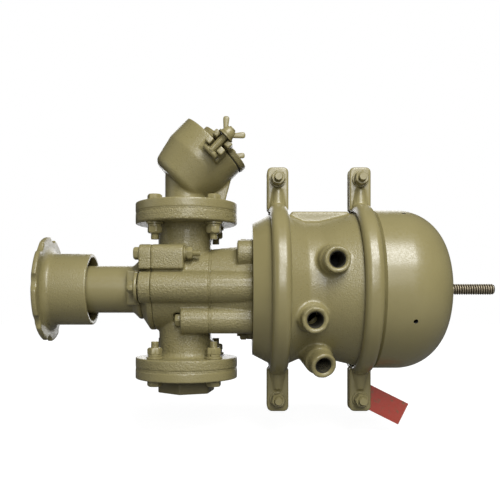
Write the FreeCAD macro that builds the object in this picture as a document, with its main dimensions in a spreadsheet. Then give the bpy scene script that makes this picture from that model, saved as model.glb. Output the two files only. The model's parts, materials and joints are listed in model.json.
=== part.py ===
# Pneumatic sandblast metering valve.
# +X runs along the plunger axis from the metering handwheel to the release bolt, +Z is up
# towards the inlet head, and the origin is where the plunger axis crosses the abrasive passage.

import FreeCAD, Part
import math
import os

import Sketcher

from FreeCAD import Placement, Rotation, Vector

DRIVING_SIZES = {
    # Abrasive passage and body casting
    "passage_radius": 20.0,
    "body_radius": 41.5,
    "body_left_end": 43.0,
    "ring_thickness": 12.0,
    "ring_nose_radius": 31.0,
    "parting_plane": 25.0,
    "upper_bolt_offset": 35.5,
    "upper_bolt_height": 34.5,
    "side_bolt_offset": 45.5,
    "side_bolt_height": 1.5,
    "bolt_lug_radius": 9.0,
    "bolt_lug_end": 0.5,
    "bolt_lug_inner": 20.0,
    "bolt_lug_drop": 14.5,
    "bolt_lug_foot": 5.0,
    "neck_radius": 28.0,
    "neck_top": 66.0,
    "neck_bottom": 69.0,
    "flange_radius": 52.0,
    "flange_thickness": 11.0,
    "gasket_thickness": 1.0,
    "flange_bolt_circle": 41.0,
    "sleeve_radius": 25.0,
    "sleeve_wall": 3.0,
    "running_clearance": 0.06,
    "gap_clearance": 0.3,
    # Outlet pipe adapter
    "hex_flats": 52.0,
    "hex_depth": 14.5,
    "pipe_bore_radius": 19.5,
    # Inlet head
    "head_neck_radius": 22.0,
    "mouth_along": 28.0,
    "mouth_height": 148.0,
    "barrel_radius": 37.5,
    "barrel_length": 55.0,
    "barrel_straight": 25.0,
    "barrel_narrowing": 7.0,
    "barrel_round": 9.0,
    "inlet_port_radius": 16.5,
    "inlet_boss_radius": 23.0,
    "inlet_boss_reach": 45.0,
    "inlet_port_drop": 26.0,
    "handhole_radius": 22.0,
    "handhole_depth": 40.0,
    "cover_radius": 29.0,
    "cover_thickness": 6.5,
    "cover_offset": 10.0,
    "ear_half_width": 11.0,
    "ear_tip": 3.0,
    "clamp_bolt_reach": 43.5,
    "lug_depth": 9.0,
    "lug_thickness": 6.5,
    "swing_bolt_radius": 3.9,
    "swing_bolt_stick_out": 18.5,
    "wing_washer_thickness": 1.6,
    "cross_pin_radius": 2.8,
    "wing_hub_radius": 7.2,
    "wing_hub_top": 6.0,
    "wing_hub_height": 7.5,
    "wing_width": 5.6,
    "wing_thickness": 3.2,
    "wing_length": 14.5,
    "rib_thickness": 8.0,
    "rib_start": 15.5,
    "rib_length": 22.0,
    "rib_height": 37.0,
    # Metering end
    "bonnet_radius": 24.15,
    "bonnet_wall": 4.0,
    "bonnet_tip": 118.0,
    "bonnet_flange": 3.3,
    "bonnet_flange_radius": 30.5,
    "bonnet_shoulder": 12.7,
    "bonnet_shoulder_height": 34.0,
    "bonnet_shoulder_half": 30.0,
    "stem_radius": 8.0,
    "stem_flange_radius": 11.0,
    "stem_collar": 6.0,
    "carrier_step": 8.0,
    "bush_length": 22.0,
    "wheel_radius": 53.5,
    "wheel_rim": 6.0,
    "wheel_left": 145.0,
    "skirt_radius": 36.5,
    "skirt_wall": 4.0,
    "skirt_length": 49.0,
    "wheel_notches": 8.0,
    "notch_radius": 10.0,
    "notch_depth": 4.5,
    "metering_travel": 12.0,
    "plug_room": 1.5,
    # Plunger and push rod
    "plunger_nose": 21.5,
    "rod_radius": 8.0,
    # Adapter and actuator
    "adapter_radius": 46.0,
    "boss_radius": 13.5,
    "boss_offset": 30.5,
    "pad_height": 34.5,
    "side_rib_radius": 15.5,
    "side_rib_offset": 37.0,
    "chamber_front": 67.5,
    "stud_height": 44.5,
    "stud_seat": 6.0,
    "stud_end": 3.0,
    "plate_gap": 9.5,
    "chamber_wall": 4.0,
    "shoulder_step": 13.0,
    "lip_thickness": 4.5,
    "lip_seat": 9.0,
    "front_clamp": 93.5,
    "rear_clamp": 177.5,
    "clamp_half_width": 9.0,
    "clamp_radius": 87.0,
    "clamp_depth": 7.0,
    "clamp_split": 3.0,
    "ear_reach": 37.5,
    "ear_thickness": 5.0,
    "ear_bolt_reach": 25.0,
    "ear_ridge_radius": 8.0,
    "ear_ridge_tip": 4.5,
    "bead_thickness": 3.0,
    "waist_step": 11.0,
    "waist_along": 132.0,
    "centre_wall": 8.0,
    "port_boss_radius": 12.5,
    "port_collar_radius": 14.5,
    "port_reach": 88.0,
    "low_port_extra": 5.7,
    "port_collar_setback": 12.5,
    "port_root": 12.5,
    "low_port_root": 29.3,
    "port_radius": 7.6,
    "dome_swell": 0.5,
    "dome_start": 213.0,
    "dome_end": 265.0,
    "crown_rise": 3.0,
    "spring_seat_room": 11.3,
    "vent_radius": 2.2,
    "vent_along": 216.0,
    "plate_margin": 22.0,
    "piston_margin": 30.0,
    "plate_thickness": 5.0,
    "socket_room": 5.4,
    "socket_wall": 4.0,
    "socket_length": 14.0,
    "socket_floor": 10.0,
    "cross_radius": 3.0,
    "release_bolt_radius": 5.6,
    "release_bolt_tip": 316.0,
    # Springs
    "power_wire": 5.0,
    "power_turns": 5.0,
    "return_wire": 1.7,
    "return_start_radius": 24.0,
    "return_end_radius": 48.0,
    "return_turns": 3.0,
    # Fasteners
    "bolt_radius": 3.9,
    "bolt_hole_radius": 4.3,
    "small_bolt_radius": 3.1,
    "small_bolt_flats": 11.2,
    "bolt_head_flats": 13.0,
    "bolt_head_height": 5.6,
    "nut_height": 6.6,
    "washer_radius": 8.4,
    "washer_thickness": 2.2,
    "lock_washer_radius": 6.8,
    "lock_washer_thickness": 2.4,
    "small_nut_height": 5.4,
    "small_washer_thickness": 1.5,
    "small_lock_washer_thickness": 1.6,
    "bolt_tip": 6.0,
    # Plain tag under one clamp bolt
    "tag_length": 56.0,
    "tag_width": 24.0,
    "tag_thickness": 1.0,
}

HEAD_TILT = 45.0
TAG_SLOPE = 26.6
FLANGE_BOLT_ANGLES = (45.0, 135.0, 225.0, 315.0)
HEX_TURN = 20.5
# Ports on the centre housing: place of the mouth along X, its angle above the near horizontal
# and the way the port points. All three are cast nearly parallel, towards the near side.
PORTS = ((143.5, 17.0, (0.10, -0.995, 0.0)),
         (123.5, -19.5, (0.08, -0.99, -0.10)),
         (134.3, -51.8, (0.22, -0.92, -0.32)))
RIB_LEAN = 15.0
VENT_ANGLES = (-22.5, 67.5, 157.5, 247.5)
WING_SPREAD = 42.0

ALONG_X = Rotation(Vector(0, 1, 0), 90)
ALONG_Y = Rotation(Vector(1, 0, 0), -90)
ALONG_Z = Rotation()
TILTED = Rotation(Vector(0, 1, 0), HEAD_TILT)

doc = FreeCAD.newDocument("MeteringValve")
sheet = doc.addObject("Spreadsheet::Sheet", "Sizes")
shapes = {}


class Size:
    """A length that carries its number and the sheet formula it is worked out with."""

    def __init__(self, number, formula):
        self.number = float(number)
        self.formula = formula

    def _with(self, other, number, sign, swap=False):
        left, right = (as_size(other), self) if swap else (self, as_size(other))
        return Size(number, "(%s %s %s)" % (left.formula, sign, right.formula))

    def __add__(self, other):
        return self._with(other, self.number + as_size(other).number, "+")

    def __radd__(self, other):
        return self._with(other, as_size(other).number + self.number, "+", True)

    def __sub__(self, other):
        return self._with(other, self.number - as_size(other).number, "-")

    def __rsub__(self, other):
        return self._with(other, as_size(other).number - self.number, "-", True)

    def __mul__(self, other):
        return self._with(other, self.number * as_size(other).number, "*")

    def __rmul__(self, other):
        return self._with(other, as_size(other).number * self.number, "*", True)

    def __truediv__(self, other):
        return self._with(other, self.number / as_size(other).number, "/")

    def __neg__(self):
        return Size(-self.number, "(0 - %s)" % self.formula)

    def __float__(self):
        return self.number


def as_size(value):
    """A plain number as a Size, so both can stand in one sum."""
    if isinstance(value, Size):
        return value
    return Size(value, "(0 - %.9f)" % -value if value < 0 else "%.9f" % value)


class Sizes:
    """The sheet's cells, read by name."""


def fill_sheet():
    """Puts each driving dimension in its own cell and gives the cell its name."""
    cells = Sizes()
    for row, (name, value) in enumerate(DRIVING_SIZES.items(), start=1):
        sheet.set("A%d" % row, name)
        sheet.set("B%d" % row, repr(value))
        sheet.setAlias("B%d" % row, name)
        setattr(cells, name, Size(value, "Sizes.%s" % name))
    return cells


d = fill_sheet()
doc.recompute()

# Planes that several pieces share
SIN = math.sin(math.radians(HEAD_TILT))
COS = math.cos(math.radians(HEAD_TILT))
body_face = -d.body_left_end
adapter_face = d.parting_plane + d.gasket_thickness
top_joint = d.neck_top + d.flange_thickness
bottom_joint = -(d.neck_bottom + d.flange_thickness)
head_flange_base = top_joint + d.gasket_thickness
head_flange_top = head_flange_base + d.flange_thickness - 1.5
outlet_flange_top = bottom_joint - d.gasket_thickness
outlet_flange_base = outlet_flange_top - d.flange_thickness + 1.5
hex_base = outlet_flange_base - d.hex_depth
ring_joint = body_face + d.ring_thickness
bonnet_face = body_face - d.gasket_thickness
sleeve_bore = d.sleeve_radius + d.running_clearance
plunger_radius = d.sleeve_radius - d.sleeve_wall - d.running_clearance
rod_bore = d.rod_radius + d.running_clearance
skirt_right = -(d.wheel_left - d.skirt_length)
clamp_lip = d.clamp_radius - d.clamp_depth
shoulder_radius = clamp_lip - d.shoulder_step
waist_radius = clamp_lip - d.waist_step
dome_radius = clamp_lip + d.dome_swell
plate_radius = clamp_lip - d.plate_margin
piston_radius = clamp_lip - d.piston_margin
power_coil_radius = piston_radius - 2.0
dome_knuckle = d.dome_end - d.dome_start - d.crown_rise
ear_top = d.clamp_radius + d.ear_reach
ear_bolt_height = d.clamp_radius + d.ear_bolt_reach
low_port_reach = d.port_reach + d.low_port_extra
port_depth = d.port_reach - waist_radius + d.port_root
low_port_depth = low_port_reach - waist_radius + d.low_port_root
inlet_port_height = d.mouth_height - d.inlet_port_drop
stem_end = body_face - d.stem_collar
plug_length = d.body_left_end - d.plunger_nose - d.metering_travel - d.plug_room
stroke = d.plunger_nose + d.passage_radius + 0.5
plate_left = d.chamber_front + d.plate_gap
service_disc_left = plate_left + d.plate_thickness
parking_rod_left = service_disc_left + d.bead_thickness
centre_wall_left = d.waist_along - d.centre_wall / 2
centre_wall_right = d.waist_along + d.centre_wall / 2
emergency_disc_left = centre_wall_right + 1.0
piston_left = emergency_disc_left + d.bead_thickness
piston_right = piston_left + d.plate_thickness
power_spring_end = d.dome_end - d.spring_seat_room
cover_base = d.gasket_thickness
cover_top = cover_base + d.cover_thickness
wing_washer_base = cover_top + d.gap_clearance
wing_base = wing_washer_base + d.wing_washer_thickness
pin_depth = d.lug_depth + d.cross_pin_radius + d.running_clearance
nut_stack = d.washer_thickness + d.lock_washer_thickness + d.nut_height
small_nut_stack = d.small_washer_thickness + d.small_lock_washer_thickness + d.small_nut_height
band_lip_room = d.lip_thickness + d.bead_thickness / 2 + d.gap_clearance


def bind(thing, prop, size):
    """Ties a property to the sheet."""
    thing.setExpression(prop, as_size(size).formula)


def place(thing, at, turn):
    """Turns a primitive and ties its base point to the sheet."""
    thing.Placement = Placement(Vector(*[float(value) for value in at]), turn)
    for letter, value in zip("xyz", at):
        bind(thing, "Placement.Base.%s" % letter, value)
    return thing


def rod(radius, length, at=(0, 0, 0), turn=ALONG_X):
    """A round bar or a round cutter."""
    made = doc.addObject("Part::Cylinder", "Round")
    bind(made, "Radius", radius)
    bind(made, "Height", length)
    return place(made, at, turn)


def taper(start, end, length, at=(0, 0, 0), turn=ALONG_X):
    """A round bar whose radius changes from start to end."""
    made = doc.addObject("Part::Cone", "Taper")
    bind(made, "Radius1", start)
    bind(made, "Radius2", end)
    bind(made, "Height", length)
    return place(made, at, turn)


def block(length, width, height, at=(0, 0, 0), turn=ALONG_Z):
    """A rectangular block from its low corner."""
    made = doc.addObject("Part::Box", "Block")
    bind(made, "Length", length)
    bind(made, "Width", width)
    bind(made, "Height", height)
    return place(made, at, turn)


def hexagon(flats, height, at=(0, 0, 0), turn=ALONG_X):
    """A hexagon bar given across its flats."""
    made = doc.addObject("Part::Prism", "Hexagon")
    made.Polygon = 6
    bind(made, "Circumradius", as_size(flats) / math.sqrt(3.0))
    bind(made, "Height", height)
    return place(made, at, turn)


def ring(outer, inner, length, at=(0, 0, 0), turn=ALONG_X):
    """A round bar with a hole through it."""
    return minus(rod(outer, length, at, turn), [rod(inner, length, at, turn)])


def plus(pieces):
    """Joins solids into one casting."""
    if len(pieces) == 1:
        return pieces[0]
    made = doc.addObject("Part::MultiFuse", "Joined")
    made.Shapes = pieces
    made.Refine = True
    return made


def minus(base, cutters):
    """Cuts every cutter out of the base."""
    made = doc.addObject("Part::Cut", "Cut")
    made.Base = base
    made.Tool = plus(cutters)
    made.Refine = True
    return made


def overlap(first, second):
    """Keeps only what two solids share."""
    made = doc.addObject("Part::Common", "Shared")
    made.Base = first
    made.Tool = second
    return made


def rounded(base, radius, chosen):
    """Rounds the edges of a solid that the test picks."""
    doc.recompute()
    made = doc.addObject("Part::Fillet", "Rounded")
    made.Base = base
    size = float(radius)
    made.Edges = [(number, size, size) for number, edge in enumerate(base.Shape.Edges, start=1)
                  if chosen(edge)]
    return made


def turned(points, upright=False, sweep=360.0):
    """A body turned from a closed sketch of (along, radius) points, round X or round Z."""
    body = doc.addObject("PartDesign::Body", "Turned")
    plane = [item for item in body.Origin.OriginFeatures if item.Role == "XZ_Plane"][0]
    sketch = body.newObject("Sketcher::SketchObject", "Profile")
    sketch.AttachmentSupport = [(plane, "")]
    sketch.MapMode = "FlatFace"
    flat = [(radius, along) if upright else (along, radius) for along, radius in points]
    corners = [Vector(float(across), float(up), 0) for across, up in flat]
    for number, corner in enumerate(corners):
        sketch.addGeometry(Part.LineSegment(corner, corners[(number + 1) % len(corners)]), False)
    for number in range(len(corners)):
        following = (number + 1) % len(corners)
        sketch.addConstraint(Sketcher.Constraint("Coincident", number, 2, following, 1))
    for number, (across, up) in enumerate(flat):
        for kind, value in (("DistanceX", across), ("DistanceY", up)):
            value = as_size(value)
            if abs(value.number) < 1e-9:
                target = -2 if kind == "DistanceX" else -1
                sketch.addConstraint(Sketcher.Constraint("PointOnObject", number, 1, target))
                continue
            item = sketch.addConstraint(
                Sketcher.Constraint(kind, -1, 1, number, 1, value.number))
            sketch.setExpression("Constraints[%d]" % item, value.formula)
    spin = body.newObject("PartDesign::Revolution", "Spin")
    spin.Profile = sketch
    spin.ReferenceAxis = (sketch, ["V_Axis" if upright else "H_Axis"])
    spin.Angle = sweep
    body.Tip = spin
    return body


def wound(start_radius, end_radius, wire, left, right, turns):
    """A spring wound along X between two flat seats, its wire eight-sided to keep it light."""
    reach = float(wire) * math.cos(math.pi / 8)
    low, high = float(left) + reach, float(right) - reach
    first, last = float(start_radius), float(end_radius)
    steps = int(float(turns) * 16)
    path = []
    for step in range(steps + 1):
        share = step / steps
        radius = first + (last - first) * share
        angle = 2 * math.pi * float(turns) * share
        path.append(Vector(low + (high - low) * share, -radius * math.cos(angle),
                           radius * math.sin(angle)))
    curve = Part.BSplineCurve()
    curve.interpolate(path)
    corners = []
    for corner in range(9):
        angle = math.pi / 4 * (corner + 0.5)
        corners.append(Vector(low + float(wire) * math.sin(angle),
                              -first + float(wire) * math.cos(angle), 0))
    made = doc.addObject("Part::Feature", "Spring")
    made.Shape = Part.Wire(curve.toShape()).makePipeShell([Part.makePolygon(corners)], True, False)
    return made


def tilt(along, across, out):
    """A point given along the mouth's slope, across it and out of it, in the row frame."""
    return (d.mouth_along + as_size(along) * COS + as_size(out) * SIN,
            as_size(across),
            d.mouth_height + as_size(out) * COS - as_size(along) * SIN)


def around_x(radius, angle):
    """The Y and Z offsets of a point at an angle above the near horizontal."""
    turn = math.radians(angle)
    return (as_size(radius) * -math.cos(turn), as_size(radius) * math.sin(turn))


def behind(point, way, distance):
    """The point that lies a distance back from another, against a way."""
    return tuple(as_size(value) - distance * part for value, part in zip(point, way))


def hex_bolt(head_at, direction, reach, turn, small=False):
    """A hexagon bolt whose head's under side lies at head_at and whose shank runs by reach."""
    radius = d.small_bolt_radius if small else d.bolt_radius
    flats = d.small_bolt_flats if small else d.bolt_head_flats
    back = tuple(as_size(at) - d.bolt_head_height * part for at, part in zip(head_at, direction))
    return plus([hexagon(flats, d.bolt_head_height, back, turn), rod(radius, reach, head_at, turn)])


def nut_and_washer(seat, direction, turn, small=False):
    """A washer with a lock washer on the seat, and a hexagon nut on them."""
    radius = d.small_bolt_radius if small else d.bolt_radius
    flats = d.small_bolt_flats if small else d.bolt_head_flats
    height = d.small_nut_height if small else d.nut_height
    plain = d.small_washer_thickness if small else d.washer_thickness
    lock = d.small_lock_washer_thickness if small else d.lock_washer_thickness
    outer = flats / 2 + 1.4 if small else d.washer_radius
    lock_outer = flats / 2 - 0.3 if small else d.lock_washer_radius
    on_plain = tuple(as_size(at) + plain * part for at, part in zip(seat, direction))
    on_lock = tuple(as_size(at) + lock * part for at, part in zip(on_plain, direction))
    nut = minus(hexagon(flats, height, on_lock, turn), [rod(radius, height, on_lock, turn)])
    washers = plus([ring(outer, radius, plain, seat, turn),
                    ring(lock_outer, radius, lock, on_plain, turn)])
    return [washers, nut]


def keep(name, thing):
    """Names a finished piece."""
    thing.Label = name
    shapes[name] = thing


def group(name, things):
    """Names a set of like pieces that stay separate solids."""
    made = doc.addObject("Part::Compound", "Set")
    made.Links = things
    keep(name, made)


def flange_bolt_points():
    """The four bolt places round the vertical passage."""
    for angle in FLANGE_BOLT_ANGLES:
        turn = math.radians(angle)
        yield (d.flange_bolt_circle * math.cos(turn), d.flange_bolt_circle * math.sin(turn))


def flange_holes(bottom, height):
    """Cutters for the four flange bolts."""
    return [rod(d.bolt_hole_radius, height, (across, deep, bottom), ALONG_Z)
            for across, deep in flange_bolt_points()]


def upper_bolt(side, along):
    """The place of an upper bolt of the end ring."""
    return (as_size(along), d.upper_bolt_offset * side, d.upper_bolt_height)


def side_bolt(side, along):
    """The place of a side bolt, which holds the bonnet and the end ring."""
    return (as_size(along), d.side_bolt_offset * side, d.side_bolt_height)


def bolt_lug(side, left, length):
    """The cast lug round an upper bolt, squared off towards the barrel and below."""
    inner = d.upper_bolt_offset - d.bolt_lug_inner
    outer = d.upper_bolt_offset + d.bolt_lug_radius
    foot = d.upper_bolt_offset - d.bolt_lug_foot
    low = d.upper_bolt_height - d.bolt_lug_drop
    return [rod(d.bolt_lug_radius, length, upper_bolt(side, left)),
            block(length, d.bolt_lug_inner, d.bolt_lug_drop + d.bolt_lug_radius,
                  (left, inner if side > 0 else -d.upper_bolt_offset, low)),
            block(length, outer - foot, d.bolt_lug_drop + 1.0,
                  (left, foot if side > 0 else -outer, low - 1.0))]


def build_valve_body():
    """The middle casting: both flanged necks, the plunger barrel, side ribs and bolt bosses."""
    length = d.parting_plane - ring_joint
    flare = d.neck_radius + 3.0
    solids = [
        rod(d.body_radius, length, (ring_joint, 0, 0)),
        rod(d.neck_radius, d.neck_top + d.neck_bottom, (0, 0, -d.neck_bottom), ALONG_Z),
        rod(d.flange_radius, d.flange_thickness, (0, 0, d.neck_top), ALONG_Z),
        rod(d.flange_radius, d.flange_thickness, (0, 0, bottom_joint), ALONG_Z),
        taper(flare, d.neck_radius - 1.0, 6.0, (0, 0, -d.neck_bottom), ALONG_Z),
        taper(d.neck_radius - 1.0, flare, 6.0, (0, 0, d.neck_top - 6.0), ALONG_Z),
    ]
    for side in (-1, 1):
        solids += bolt_lug(side, ring_joint, d.bolt_lug_end - ring_joint)
        offset = d.boss_offset * side
        solids.append(rod(d.side_rib_radius, length,
                          (ring_joint, d.side_rib_offset * side, d.side_bolt_height)))
        solids.append(rod(d.boss_radius, d.parting_plane + 3.0, (-3.0, offset, -d.boss_offset)))
    casting = plus(solids)
    cutters = [
        rod(sleeve_bore, length, (ring_joint, 0, 0)),
        rod(d.passage_radius, top_joint - bottom_joint, (0, 0, bottom_joint), ALONG_Z),
        block(30.0, 120.0, 104.0, (d.parting_plane, -60.0, -52.0)),
    ]
    cutters += flange_holes(bottom_joint, d.flange_thickness)
    cutters += flange_holes(d.neck_top, d.flange_thickness)
    hole = d.small_bolt_radius + d.gap_clearance
    for side in (-1, 1):
        cutters.append(rod(hole, d.bolt_lug_end - ring_joint, upper_bolt(side, ring_joint)))
        cutters.append(rod(d.small_bolt_radius, 18.0, side_bolt(side, ring_joint)))
        cutters.append(rod(hole, d.parting_plane + 3.0,
                           (-3.0, d.boss_offset * side, -d.boss_offset)))
        cutters.append(rod(7.2, 7.4, (-10.4, d.boss_offset * side, -d.boss_offset)))
        cutters.append(rod(d.small_bolt_radius, 16.0,
                           (d.parting_plane - 16.0, d.side_rib_offset * side,
                            d.side_bolt_height)))
    keep("valve_body", minus(casting, cutters))
    build_end_ring(hole)


def build_end_ring(hole):
    """The end ring between the body and the bonnet, with its sloping nose."""
    slope = d.ring_thickness - 5.0
    solids = [
        taper(d.ring_nose_radius, d.body_radius, slope, (body_face, 0, 0)),
        rod(d.body_radius, 5.0, (ring_joint - 5.0, 0, 0)),
    ]
    cutters = [rod(sleeve_bore, d.ring_thickness, (body_face, 0, 0))]
    for side in (-1, 1):
        solids += bolt_lug(side, body_face, d.ring_thickness)
        solids.append(rod(d.side_rib_radius, d.ring_thickness,
                          (body_face, d.side_rib_offset * side, d.side_bolt_height)))
        cutters.append(rod(hole, d.ring_thickness, upper_bolt(side, body_face)))
        cutters.append(rod(hole, d.ring_thickness, side_bolt(side, body_face)))
    keep("end_ring", minus(plus(solids), cutters))


def build_adapter():
    """The right casting that carries the actuator on the body."""
    length = d.chamber_front - adapter_face
    solids = [taper(d.body_radius, d.adapter_radius, length, (adapter_face, 0, 0))]
    for side in (-1, 1):
        offset = d.boss_offset * side
        solids.append(rod(d.boss_radius, length, (adapter_face, offset, -d.boss_offset)))
        solids.append(rod(d.boss_radius, 15.0, (d.chamber_front - 15.0, offset, d.pad_height)))
        solids.append(rod(d.side_rib_radius, length,
                          (adapter_face, d.side_rib_offset * side, d.side_bolt_height)))
    casting = plus(solids)
    cutters = [
        rod(sleeve_bore, length - 5.0, (adapter_face, 0, 0)),
        rod(12.0, 5.0, (d.chamber_front - 5.0, 0, 0)),
    ]
    hole = d.small_bolt_radius + d.gap_clearance
    for side in (-1, 1):
        cutters.append(rod(hole, 20.0, (adapter_face, d.boss_offset * side, -d.boss_offset)))
        cutters.append(rod(10.0, length - d.stud_seat, (adapter_face, 0, d.stud_height * side)))
        cutters.append(rod(d.bolt_radius + d.gap_clearance, d.stud_seat,
                           (d.chamber_front - d.stud_seat, 0, d.stud_height * side)))
    keep("body_adapter", minus(casting, cutters))
    keep("parting_gasket", ring(d.body_radius - 2.0, sleeve_bore, d.gasket_thickness,
                                (d.parting_plane, 0, 0)))
    bolts = []
    for side in (-1, 1):
        head_at = (as_size(-3.0), d.boss_offset * side, -d.boss_offset)
        bolts.append(hex_bolt(head_at, (1, 0, 0), adapter_face + 20.0 + 3.0, ALONG_X, True))
    group("adapter_bolts", bolts)


def build_outlet():
    """The threaded outlet flange with its hexagon, gasket and fasteners."""
    flange = rod(d.flange_radius, outlet_flange_top - outlet_flange_base,
                 (0, 0, outlet_flange_base), ALONG_Z)
    hexagon_turn = Rotation(Vector(0, 0, 1), HEX_TURN)
    grip = hexagon(d.hex_flats, d.hex_depth, (0, 0, hex_base), hexagon_turn)
    length = outlet_flange_top - hex_base
    cutters = [rod(d.pipe_bore_radius, length, (0, 0, hex_base), ALONG_Z)]
    cutters += flange_holes(outlet_flange_base, d.flange_thickness)
    keep("outlet_flange", minus(plus([flange, grip]), cutters))
    pad = rod(d.flange_radius - 1.5, d.gasket_thickness, (0, 0, outlet_flange_top), ALONG_Z)
    holes = [rod(d.passage_radius, d.gasket_thickness, (0, 0, outlet_flange_top), ALONG_Z)]
    keep("outlet_gasket", minus(pad, holes + flange_holes(outlet_flange_top, d.gasket_thickness)))
    down = Rotation(Vector(1, 0, 0), 180)
    up_seat = -d.neck_bottom
    bolts, nuts = [], []
    for across, deep in flange_bolt_points():
        reach = up_seat - outlet_flange_base + nut_stack + d.bolt_tip
        bolts.append(hex_bolt((across, deep, outlet_flange_base), (0, 0, 1), reach, ALONG_Z))
        nuts += nut_and_washer((across, deep, up_seat), (0, 0, 1), ALONG_Z)
    group("outlet_bolts", bolts)
    group("outlet_nuts", nuts)
    bolts, nuts = [], []
    for across, deep in flange_bolt_points():
        reach = head_flange_top - d.neck_top + nut_stack + d.bolt_tip
        bolts.append(hex_bolt((across, deep, head_flange_top), (0, 0, -1), reach, down))
        nuts += nut_and_washer((across, deep, d.neck_top), (0, 0, -1), down)
    group("inlet_bolts", bolts)
    group("inlet_nuts", nuts)


def build_inlet_head():
    """The sloping head over the top flange, with its handhole, side port and bolt lugs."""
    narrow = d.barrel_radius - d.barrel_narrowing
    tail = d.barrel_length - d.barrel_straight
    stub = plus([rod(d.barrel_radius, d.barrel_straight, tilt(0, 0, -d.barrel_straight), TILTED),
                 taper(narrow, d.barrel_radius, tail, tilt(0, 0, -d.barrel_length), TILTED)])
    end_height = float(tilt(0, 0, -d.barrel_length)[2])
    barrel = rounded(stub, d.barrel_round, lambda edge: isinstance(edge.Curve, Part.Circle)
                     and abs(edge.Curve.Center.z - end_height) < 0.5)
    rib_turn = Rotation(Vector(0, 1, 0), RIB_LEAN)
    above = block(220.0, 120.0, 140.0, (-110.0, -60.0, head_flange_base), ALONG_Z)
    solids = [
        overlap(barrel, above),
        rod(d.head_neck_radius, d.mouth_height - 30.0 - head_flange_base,
            (0, 0, head_flange_base), ALONG_Z),
        rod(d.flange_radius, head_flange_top - head_flange_base, (0, 0, head_flange_base), ALONG_Z),
        block(d.rib_length, d.rib_thickness, d.rib_height,
              (d.rib_start, d.rib_thickness * -0.5, head_flange_base + 6.5), rib_turn),
        rod(d.inlet_boss_radius, d.inlet_boss_reach - 10.0, (0, 10.0, inlet_port_height), ALONG_Y),
    ]
    for side in (-1, 1):
        for shift in (-1, 1):
            middle = d.cover_offset + (d.swing_bolt_radius + 0.7 + d.lug_thickness / 2) * shift
            corner = -(d.clamp_bolt_reach + 6.0) if side < 0 else 24.0
            low = tilt(middle - d.lug_thickness / 2, corner, -d.lug_depth)
            foot = tilt(middle - d.lug_thickness / 2,
                        -(d.clamp_bolt_reach - 5.0) if side < 0 else 24.0, -d.lug_depth - 6.0)
            solids.append(block(d.lug_thickness, d.clamp_bolt_reach + 6.0 - 24.0,
                                d.lug_depth - 2.0, low, TILTED))
            solids.append(block(d.lug_thickness, d.clamp_bolt_reach - 5.0 - 24.0, 8.0, foot, TILTED))
    casting = plus(solids)
    cutters = [
        rod(d.passage_radius - 3.0, d.mouth_height - 26.0 - head_flange_base,
            (0, 0, head_flange_base), ALONG_Z),
        rod(d.handhole_radius, d.handhole_depth, tilt(d.cover_offset, 0, -d.handhole_depth), TILTED),
        rod(d.inlet_port_radius, d.inlet_boss_reach, (0, 0, inlet_port_height), ALONG_Y),
    ]
    cutters += flange_holes(head_flange_base, d.flange_thickness)
    keep("inlet_head", minus(casting, cutters))
    pad = rod(d.flange_radius - 1.5, d.gasket_thickness, (0, 0, top_joint), ALONG_Z)
    holes = [rod(d.passage_radius, d.gasket_thickness, (0, 0, top_joint), ALONG_Z)]
    keep("inlet_gasket", minus(pad, holes + flange_holes(top_joint, d.gasket_thickness)))


def build_cover():
    """The handhole cover with its gasket, swing bolts, washers and wing nuts."""
    middle = tilt(d.cover_offset, 0, cover_base)
    slot = d.swing_bolt_radius + 0.8
    bar = block(d.ear_half_width * 2, (d.clamp_bolt_reach + d.ear_tip) * 2, d.cover_thickness,
                tilt(d.cover_offset - d.ear_half_width, -d.clamp_bolt_reach - d.ear_tip, cover_base),
                TILTED)
    plate = plus([rod(d.cover_radius, d.cover_thickness, middle, TILTED), bar])
    cutters = []
    for side in (-1, 1):
        start = d.clamp_bolt_reach * side - (0 if side > 0 else 20.0)
        cutters.append(block(slot * 2, 20.0, d.cover_thickness,
                             tilt(d.cover_offset - slot, start, cover_base), TILTED))
        cutters.append(rod(slot, d.cover_thickness,
                           tilt(d.cover_offset, d.clamp_bolt_reach * side, cover_base), TILTED))
    keep("handhole_cover", minus(plate, cutters))
    keep("handhole_gasket", ring(d.cover_radius - 1.0, d.handhole_radius, d.gasket_thickness,
                                 tilt(d.cover_offset, 0, 0), TILTED))
    for side, name in ((-1, "near"), (1, "far")):
        reach = d.clamp_bolt_reach * side
        cross = TILTED.multiply(Rotation(Vector(0, 1, 0), 90))
        pin_half = d.swing_bolt_radius + 4.5
        shank = rod(d.swing_bolt_radius, d.swing_bolt_stick_out + pin_depth,
                    tilt(d.cover_offset, reach, -pin_depth), TILTED)
        pin = rod(d.cross_pin_radius, pin_half * 2,
                  tilt(d.cover_offset - pin_half, reach, -pin_depth), cross)
        keep("%s_swing_bolt" % name, plus([shank, pin]))
        bore = d.swing_bolt_radius + d.running_clearance
        keep("%s_wing_washer" % name, ring(d.washer_radius, bore, d.wing_washer_thickness,
                                           tilt(d.cover_offset, reach, wing_washer_base), TILTED))
        hub = taper(d.wing_hub_radius, d.wing_hub_top, d.wing_hub_height,
                    tilt(d.cover_offset, reach, wing_base), TILTED)
        solids = [hub]
        for lean in (-1, 1):
            wing_turn = TILTED.multiply(Rotation(Vector(0, 1, 0), WING_SPREAD * lean))
            along, across = wing_turn.multVec(Vector(1, 0, 0)), wing_turn.multVec(Vector(0, 1, 0))
            root = tilt(d.cover_offset, reach, wing_base + 2.5)
            at = behind(behind(root, along, d.wing_width / 2), across, d.wing_thickness / 2)
            wing = block(d.wing_width, d.wing_thickness, d.wing_length, at, wing_turn)
            solids.append(rounded(wing, d.wing_width * 0.36, lambda edge, turn=wing_turn, spot=at:
                                  is_tip(edge, turn, spot, float(d.wing_length))))
        keep("%s_wing_nut" % name, minus(plus(solids), [
            rod(bore, 30.0, tilt(d.cover_offset, reach, wing_base), TILTED)]))


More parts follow.
